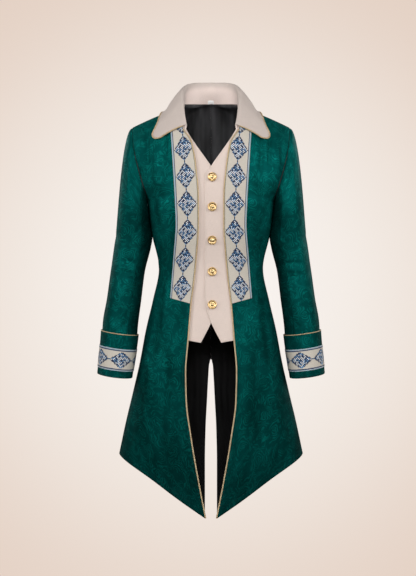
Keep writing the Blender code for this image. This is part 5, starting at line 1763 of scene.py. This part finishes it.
def make_neck_facing(grid, normals):
    """Black facing inside the stand up to a level line, and a cream binding along that line."""
    fold = 2 * COLLAR_FINE_ACROSS
    stand = grid[:, :fold + 1]
    inward = normals[:, 0]
    if np.dot(inward[len(grid) // 2], (0, -1, 0)) < 0:
        inward = -inward
    line = CAMERA_PLACE[2] + NECK_LINE * (stand[..., 1] - CAMERA_PLACE[1]) / -CAMERA_PLACE[1]
    above = stand[..., 2] - line
    shares = np.linspace(0, 1, fold + 1)
    lengths = np.linalg.norm(stand[:, -1] - stand[:, 0], axis=-1)
    tops = np.array([np.interp(0.0, row, shares) for row in above])
    used = np.nonzero(stand[:, 0, 1] > NECK_FACING_FRONT)[0]
    stand, inward, lengths = stand[used], inward[used], lengths[used]
    tops = np.maximum(tops[used], NECK_FACING_LEAST / lengths)
    way = np.diff(stand, axis=1)

    def on_stand(share):
        """Points of the stand at a share of its height for each station."""
        steps = np.clip((share[:, None] - shares[None, :-1]) * fold, 0, 1)
        points = stand[:, 0] + (way * steps[..., None]).sum(axis=1)
        return points + way[:, 0] * (np.minimum(share, 0) * fold)[:, None]

    levels = {"under": -NECK_FACING_UNDER / lengths, "line": tops, "over": tops + NECK_BINDING / lengths}
    for name, first, last, rows, gap, wall, look, slot in NECK_STRIPS:
        first, last = levels[first], levels[last]
        out = inward * (COLLAR_WALL / 2 + gap)
        steps = np.linspace(0, 1, rows)
        middle = np.array([on_stand(first + (last - first) * step) + out for step in steps])
        directions = np.broadcast_to(inward, middle.shape).copy()
        uv = paired(distances(middle[-1])[None, :], np.linspace(0, 0.01, rows)[:, None])
        piece = wall_mesh(name, middle, directions, wall, uv, finish(look), finish(look))
        settle(piece, slot)
        if slot == "lining":
            declare_sheet(middle)


def make_cords(grid, normals):
    """The twisted cords: along the front edges, round the collar's leaf and along the cuffs."""
    levels = np.linspace(FRONT_CORD_LEVEL, LAST_LEVEL, 700)
    runs = FRONT_EDGE_RUN(levels)
    outward = body_normal(levels, runs)
    edge = body_at(levels, runs) + outward * front_relief(levels, runs, 1)[:, None]
    path = beside(edge, outward, CORD_RADIUS + CORD_GAP)
    angles = np.arange(0, 360, 1.5)
    ring = cuff_at(angles, np.full_like(angles, -CUFF_CORD_RADIUS - CUFF_CORD_GAP))
    for word, side in SIDES:
        piece = cord_mesh("front_cord_" + word, mirror(path, side), CORD_RADIUS * CORD_FULLNESS)
        settle(piece, "cord", "front_piping_" + word)
        piece = cord_mesh("cuff_cord_" + word, mirror(ring, side), CUFF_CORD_RADIUS, closed=True)
        settle(piece, "cord", "cuff_piping_" + word)
    piece = cord_mesh("collar_cord", collar_cord_path(grid, normals), CORD_RADIUS * CORD_FULLNESS)
    settle(piece, "cord", "collar_piping")


def collar_cord_path(grid, normals):
    """The line beside the edge of the collar's leaf, from one fold to the other."""
    rows, columns = grid.shape[:2]
    first = (columns - 1) - (len(LEAF_SHARES) - 1) * COLLAR_FINE_ACROSS
    around = [(rows - 1, k) for k in range(first, columns)]
    around += [(row, columns - 1) for row in range(rows - 2, -1, -1)]
    around += [(0, k) for k in range(columns - 2, first - 1, -1)]
    edge, turned = (np.array([points[place] for place in around]) for points in (grid, normals))
    return beside(edge, turned, CORD_RADIUS + CORD_GAP)


# Stitches, set along the edges by one Geometry Nodes tree

def stitch_tree():
    """Sets an oval stitch at even steps along each path of its geometry."""
    tree = bpy.data.node_groups.new("row of stitches", "GeometryNodeTree")
    for label, kind in (("Geometry", "Geometry"), ("Spacing", "Float"), ("Length", "Float"),
                        ("Thickness", "Float"), ("Thread", "Material")):
        tree.interface.new_socket(label, in_out="INPUT", socket_type="NodeSocket" + kind)
    tree.interface.new_socket("Geometry", in_out="OUTPUT", socket_type="NodeSocketGeometry")
    nodes = Nodes(tree)
    given = nodes.node("NodeGroupInput").outputs
    path = nodes.node("GeometryNodeMeshToCurve", {"Mesh": given["Geometry"]}).outputs["Curve"]
    even = nodes.node("GeometryNodeResampleCurve", {"Curve": path, "Length": given["Spacing"]},
                      mode="LENGTH").outputs[0]
    bead = nodes.node("GeometryNodeMeshUVSphere", {"Segments": 6, "Rings": 5, "Radius": 0.5}).outputs["Mesh"]
    size = nodes.node("ShaderNodeCombineXYZ", {"X": given["Length"], "Y": given["Thickness"],
                                               "Z": given["Thickness"]}).outputs[0]
    tangent = nodes.node("GeometryNodeInputTangent").outputs["Tangent"]
    turned = nodes.node("FunctionNodeAlignRotationToVector", {"Vector": tangent}, axis="X").outputs[0]
    placed = nodes.node("GeometryNodeInstanceOnPoints", {"Points": even, "Instance": bead,
                                                         "Rotation": turned, "Scale": size}).outputs[0]
    real = nodes.node("GeometryNodeRealizeInstances", {"Geometry": placed}).outputs[0]
    smooth = nodes.node("GeometryNodeSetShadeSmooth", {"Geometry": real}).outputs[0]
    coloured = nodes.node("GeometryNodeSetMaterial", {"Geometry": smooth, "Material": given["Thread"]})
    nodes.feed(nodes.node("NodeGroupOutput").inputs["Geometry"], coloured.outputs[0])
    return tree


def sew(name, paths, tree, thread, slot):
    """One piece with a stitch at each step along these paths."""
    starts = np.cumsum([0] + [len(path) for path in paths])
    edges = [(k, k + 1) for first, last in zip(starts[:-1], starts[1:]) for k in range(first, last - 1)]
    guide_mesh = bpy.data.meshes.new(name + "_guide")
    guide_mesh.from_pydata(np.concatenate(paths).tolist(), edges, [])
    guide = linked(name + "_guide", guide_mesh)
    modifier = guide.modifiers.new("stitches", "NODES")
    modifier.node_group = tree
    wanted = {"Spacing": bpy.context.scene.tailcoat_looks.stitch_spacing, "Length": STITCH_LENGTH,
              "Thickness": STITCH_THICKNESS, "Thread": thread}
    for socket in tree.interface.items_tree:
        if socket.in_out == "INPUT" and socket.name in wanted:
            modifier[socket.identifier] = wanted[socket.name]
    evaluated = guide.evaluated_get(bpy.context.evaluated_depsgraph_get())
    mesh = bpy.data.meshes.new_from_object(evaluated)
    mesh.name = name
    guide.modifiers.remove(modifier)
    bpy.data.objects.remove(guide)
    bpy.data.meshes.remove(guide_mesh)
    if not mesh.polygons:
        raise RuntimeError(name + ": no stitches were made")
    settle(linked(name, mesh), slot)


def sewn_line(levels, runs, out, relief, side):
    """A line over the body at a height above the middle of the coat's wall."""
    height = out + relief(levels, runs, side)
    return mirror(body_at(levels, runs) + body_normal(levels, runs) * height[:, None], side)


def cream_lines():
    """Lines of stitches on the bands and the waistcoat."""
    lines = []
    shares = np.linspace(0, 1, LINE_POINTS)
    ribbon_top = RIBBON_OUT + RIBBON_WALL / 2 + STITCH_SINK
    rows = ((RIBBON_CUT_LEVELS[0], FRONT_EDGE_RUN, RIBBON_INSET + BAND_SEWN),
            (RIBBON_CUT_LEVELS[2], RIBBON_EDGE_RUN, -RIBBON_SIDE_INSET - BAND_SEWN))
    for (_, side), vest_out in zip(SIDES, VEST_OUTS):
        for end, edge_run, inset in rows:
            levels = RIBBON_TOP_LEVEL + (end - BAND_SEWN_SHORT - RIBBON_TOP_LEVEL) * shares
            lines.append(sewn_line(levels, edge_run(levels) + inset, ribbon_top, ribbon_relief, side))
        start, length = VEST_SEWN_SHARES
        levels = FIRST_LEVEL + (VEST_BOTTOM_LEVEL - FIRST_LEVEL) * (start + length * shares)
        top = vest_out + VEST_WALL / 2 + STITCH_SINK
        lines.append(sewn_line(levels, VEST_EDGE_RUN(levels) + VEST_SEWN, top, vest_relief, side))
        for down in (CUFF_RIBBON_FROM + BAND_SEWN, CUFF_RIBBON_TO - BAND_SEWN):
            lines.append(mirror(cuff_at(360 * shares, np.full(LINE_POINTS, down), ribbon_top), side))
    return lines


def green_lines():
    """Lines of stitches along the coat's front edges, hems, vent and cuffs."""
    lines = []
    shares = np.linspace(0, 1, LINE_POINTS)
    top = COAT_WALL / 2 + STITCH_SINK
    sheets = ((1, FRONT_SEWN_FROM, FRONT_EDGE_RUN, front_relief),
              (-1, VENT_SEWN_FROM, back_edge_run, back_relief))
    for _, side in SIDES:
        for sign, sewn_from, edge_run, relief in sheets:
            levels = sign * (sewn_from + (HEM_SEWN - sewn_from) * shares)
            lines.append(sewn_line(levels, edge_run(levels) + EDGE_SEWN, top, relief, side))
        for sign, _, edge_run, relief in sheets:
            levels = np.full(LINE_POINTS, sign * HEM_SEWN)
            first = edge_run(levels) + EDGE_SEWN
            runs = first + (side_run(levels) - EDGE_SEWN - first) * shares
            lines.append(sewn_line(levels, runs, top, relief, side))
        lines.append(mirror(cuff_at(360 * shares, np.full(LINE_POINTS, CUFF_LENGTH - CUFF_SEWN), top), side))
    return lines


def make_stitches():
    """Every row of stitches, in cream and in green thread."""
    looks = bpy.context.scene.tailcoat_looks
    tree = stitch_tree()
    sew("cream_stitches", cream_lines(), tree, thread_finish("cream_thread", looks.thread_cream), "cream")
    sew("green_stitches", green_lines(), tree, thread_finish("green_thread", looks.thread_green), "brocade")


# The studio

def cove_finish(settings):
    """A backdrop that the camera sees as a soft glow round the middle of the view."""
    made = bpy.data.materials.new("cove")
    made.use_nodes = True
    made.node_tree.nodes.clear()
    nodes = Nodes(made.node_tree)
    parts = nodes.parts(nodes.point())
    across, height = (nodes.minus(parts[axis], CAMERA_PLACE[k]) for axis, k in (("X", 0), ("Z", 2)))
    share = nodes.over(nodes.reach(across, height), BACKDROP_REACH)
    inner = nodes.mix(nodes.between(share, 0.0, 0.55), rgba(settings.backdrop_centre),
                      rgba(settings.backdrop_middle))
    colour = nodes.mix(nodes.between(share, 0.35, 1.05), inner, rgba(settings.backdrop_edge))
    seen = nodes.node("ShaderNodeLightPath").outputs["Is Camera Ray"]
    strength = nodes.scaled(seen, 1.0 - AMBIENT, AMBIENT)
    glow = nodes.node("ShaderNodeEmission", {"Color": colour, "Strength": strength}).outputs[0]
    nodes.node("ShaderNodeOutputMaterial", {"Surface": glow})
    return made


def make_cove(settings):
    """A round wall with a floor, joined by a bend."""
    turns = np.radians(np.linspace(0, 90, COVE_BEND_STEPS + 1))
    profile = [(WALL_REACH - COVE_BEND + COVE_BEND * math.sin(turn),
                FLOOR_HEIGHT + COVE_BEND * (1 - math.cos(turn))) for turn in turns]
    profile.append((WALL_REACH, CEILING_HEIGHT))
    points, faces = [(0.0, 0.0, FLOOR_HEIGHT)], []
    for ring, (reach, height) in enumerate(profile):
        here = 1 + ring * COVE_SIDES
        below = here - COVE_SIDES
        for side in range(COVE_SIDES):
            turn = 2 * math.pi * side / COVE_SIDES
            points.append((reach * math.cos(turn), reach * math.sin(turn), height))
            following = (side + 1) % COVE_SIDES
            face = (here + side, here + following)
            faces.append((0, *face) if ring == 0 else (below + side, *face, below + following))
    mesh = bpy.data.meshes.new("cove")
    mesh.from_pydata(points, [], faces)
    mesh.materials.append(cove_finish(settings))
    mesh.polygons.foreach_set("use_smooth", [True] * len(mesh.polygons))
    linked("cove", mesh)


def make_lights(scene, settings):
    """Soft lights in front, dim ones behind for the views from there, and a faint sky."""
    for number, (kind, x, y, z, width, height, aim_x, aim_y, aim_z, share) in enumerate(LIGHTS):
        data = bpy.data.lights.new(f"{kind}_light_{number}", "AREA")
        data.shape = "RECTANGLE"
        data.size = width
        data.size_y = height
        data.energy = share * (settings.key_power if kind == "key" else settings.fill_power)
        lamp = linked(data.name, data)
        lamp.location = (x, y, z)
        aim = Vector((aim_x, aim_y, aim_z)) - Vector((x, y, z))
        lamp.rotation_euler = aim.to_track_quat("-Z", "Y").to_euler()
        lamp.visible_camera = False
    world = bpy.data.worlds.new("sky")
    world.use_nodes = True
    sky = world.node_tree.nodes["Background"]
    sky.inputs["Color"].default_value = SKY_COLOUR
    sky.inputs["Strength"].default_value = settings.sky_strength
    scene.world = world


def make_stage():
    """The backdrop, the lights and the camera."""
    scene = bpy.context.scene
    make_cove(scene.tailcoat_stage)
    make_lights(scene, scene.tailcoat_stage)
    data = bpy.data.cameras.new("camera")
    data.sensor_fit = "VERTICAL"
    data.sensor_height = SENSOR_HEIGHT
    data.lens = SENSOR_HEIGHT * -CAMERA_PLACE[1] / VIEW_HEIGHT
    camera = linked("camera", data)
    camera.location = CAMERA_PLACE
    camera.rotation_euler = (math.radians(90), 0.0, 0.0)
    scene.camera = camera
    scene.view_settings.view_transform = "Standard"


# The add-on: what a user may change

def colour_property(name, description, red, green, blue):
    """A colour setting, from a colour on screen."""
    return bpy.props.FloatVectorProperty(name=name, description=description, subtype="COLOR", size=3,
                                         min=0.0, max=1.0, default=srgb(red, green, blue))


def length_property(name, description, default):
    """A length setting in metres."""
    return bpy.props.FloatProperty(name=name, description=description, default=default, min=0.0,
                                   unit="LENGTH", precision=4)


class TailcoatLooks(bpy.types.PropertyGroup):
    """Colours and pattern sizes of the cloth and trim."""

    brocade_ground: colour_property("Brocade ground", "Dull ground of the brocade", 4, 80, 77)
    brocade_figure: colour_property("Brocade figure", "Satin figure of the brocade", 10, 122, 114)
    figure_repeat: length_property("Figure repeat", "Size of one scroll of the brocade's figure", 0.052)
    lining: colour_property("Lining", "Black satin lining", 4, 4, 5)
    # Painted light: the lining's lighter black in the neck
    lining_neck_painted_light: colour_property("Neck lining", "Black satin where light falls into the neck", 60, 60, 62)
    facing: colour_property("Facing", "Inside of the fronts", 6, 16, 16)
    vest: colour_property("Waistcoat", "Cloth of the false waistcoat", 230, 213, 203)
    collar: colour_property("Collar", "Cloth of the collar's leaf", 208, 195, 187)
    # Painted light: the stand's cream is lighter than the leaf's, for light inside the stand
    stand: colour_property("Collar stand", "Cloth of the collar's stand", 246, 229, 221)
    ribbon_ground: colour_property("Band ground", "Cream ground of the woven bands", 216, 209, 197)
    ribbon_shade: colour_property("Band twill", "Darker twill line of the woven bands", 196, 189, 176)
    ribbon_light: colour_property("Band light blue", "Light blue of the diamonds", 90, 136, 178)
    ribbon_pale: colour_property("Band pale blue", "Palest blue of the diamonds", 228, 232, 234)
    ribbon_navy: colour_property("Band navy", "Dark blue of the diamonds", 12, 32, 68)
    stripe_light: colour_property("Light stripe", "Light stripe at the bands' edges", 150, 186, 206)
    stripe_dark: colour_property("Dark stripe", "Dark stripe at the bands' edges", 40, 62, 98)
    diamond_cell: length_property("Diamond cell", "Size of one woven cell of a diamond", 0.0027)
    cord_light: colour_property("Cord light", "Light thread of the cords", 232, 210, 170)
    cord_dark: colour_property("Cord dark", "Shaded thread of the cords", 164, 136, 98)
    cord_pitch: length_property("Cord pitch", "Length in which a strand goes once round its cord", 0.009)
    gold: colour_property("Gold", "Polished places of the buttons", 250, 228, 178)
    gold_dark: colour_property("Gold shade", "Dull places of the buttons", 196, 160, 108)
    thread_cream: colour_property("Cream thread", "Thread of the seams on the cream pieces", 206, 196, 184)
    thread_green: colour_property("Green thread", "Thread of the seams on the brocade", 2, 46, 44)
    stitch_spacing: length_property("Stitch spacing", "From one stitch to the next", 0.0034)
    label: colour_property("Label", "Bare label in the neck", 250, 249, 247)


class TailcoatStage(bpy.types.PropertyGroup):
    """The studio: lights and backdrop."""

    key_power: bpy.props.FloatProperty(name="Key lights", description="Power of all the lights in front",
                                       default=212.0, min=0.0, unit="POWER")
    fill_power: bpy.props.FloatProperty(name="Fill lights", description="Power of each light behind",
                                        default=26.0, min=0.0, unit="POWER")
    sky_strength: bpy.props.FloatProperty(name="Sky", description="Strength of the light from all round",
                                          default=0.15, min=0.0)
    backdrop_centre: colour_property("Backdrop centre", "Backdrop behind the coat", 249, 244, 240)
    backdrop_middle: colour_property("Backdrop middle", "Backdrop halfway out", 243, 235, 228)
    backdrop_edge: colour_property("Backdrop edge", "Backdrop at the corners", 228, 209, 196)


class Maker:
    """What the operators share: each runs its steps in turn."""

    def execute(self, context):
        for step in self.steps:
            step()
        return {"FINISHED"}


class TAILCOAT_OT_fronts(Maker, bpy.types.Operator):
    """Make the two brocade fronts"""

    bl_idname = "tailcoat.fronts"
    bl_label = "Fronts"
    steps = (make_fronts,)


class TAILCOAT_OT_backs(Maker, bpy.types.Operator):
    """Make the two brocade backs and their black linings"""

    bl_idname = "tailcoat.backs"
    bl_label = "Backs and linings"
    steps = (make_backs, make_linings)


class TAILCOAT_OT_bands(Maker, bpy.types.Operator):
    """Make the woven bands along the fronts"""

    bl_idname = "tailcoat.bands"
    bl_label = "Front bands"
    steps = (make_front_ribbons,)


class TAILCOAT_OT_waistcoat(Maker, bpy.types.Operator):
    """Make the false waistcoat and its buttons"""

    bl_idname = "tailcoat.waistcoat"
    bl_label = "Waistcoat and buttons"
    steps = (make_vest, make_buttons)


class TAILCOAT_OT_sleeves(Maker, bpy.types.Operator):
    """Make the two-piece sleeves, the cuffs with their bands, and the tapes inside the armholes"""

    bl_idname = "tailcoat.sleeves"
    bl_label = "Sleeves and cuffs"
    steps = (make_sleeves, make_cuffs, make_tapes)


class TAILCOAT_OT_collar(Maker, bpy.types.Operator):
    """Make the collar, what is sewn inside it and every cord"""

    bl_idname = "tailcoat.collar"
    bl_label = "Collar and cords"
    steps = (make_collar,)


class TAILCOAT_OT_stitches(Maker, bpy.types.Operator):
    """Sew a row of stitches along each edge"""

    bl_idname = "tailcoat.stitches"
    bl_label = "Stitches"
    steps = (make_stitches,)


class TAILCOAT_OT_stage(Maker, bpy.types.Operator):
    """Make the backdrop, the lights and the camera"""

    bl_idname = "tailcoat.stage"
    bl_label = "Studio"
    steps = (make_stage,)


OPERATORS = (
    TAILCOAT_OT_fronts, TAILCOAT_OT_backs, TAILCOAT_OT_bands, TAILCOAT_OT_waistcoat, TAILCOAT_OT_sleeves,
    TAILCOAT_OT_collar, TAILCOAT_OT_stitches, TAILCOAT_OT_stage,
)


class TAILCOAT_PT_panel(bpy.types.Panel):
    """Lists the coat's pieces and what can be changed about them"""

    bl_idname = "TAILCOAT_PT_panel"
    bl_label = "Tailcoat"
    bl_space_type = "VIEW_3D"
    bl_region_type = "UI"
    bl_category = "Tailcoat"

    def draw(self, context):
        for operator in OPERATORS:
            self.layout.operator(operator.bl_idname)
        for settings in (context.scene.tailcoat_looks, context.scene.tailcoat_stage):
            column = self.layout.column()
            for name in settings.__annotations__:
                column.prop(settings, name)


CLASSES = (TailcoatLooks, TailcoatStage, *OPERATORS, TAILCOAT_PT_panel)


def register():
    """Adds the classes and settings."""
    for kind in CLASSES:
        bpy.utils.register_class(kind)
    bpy.types.Scene.tailcoat_looks = bpy.props.PointerProperty(type=TailcoatLooks)
    bpy.types.Scene.tailcoat_stage = bpy.props.PointerProperty(type=TailcoatStage)


def unregister():
    """Takes the classes and settings away."""
    del bpy.types.Scene.tailcoat_stage
    del bpy.types.Scene.tailcoat_looks
    for kind in reversed(CLASSES):
        bpy.utils.unregister_class(kind)


def main():
    """Makes every piece and the studio."""
    register()
    for operator in OPERATORS:
        group, name = operator.bl_idname.split(".")
        getattr(getattr(bpy.ops, group), name)()


if __name__ == "__main__":
    main()
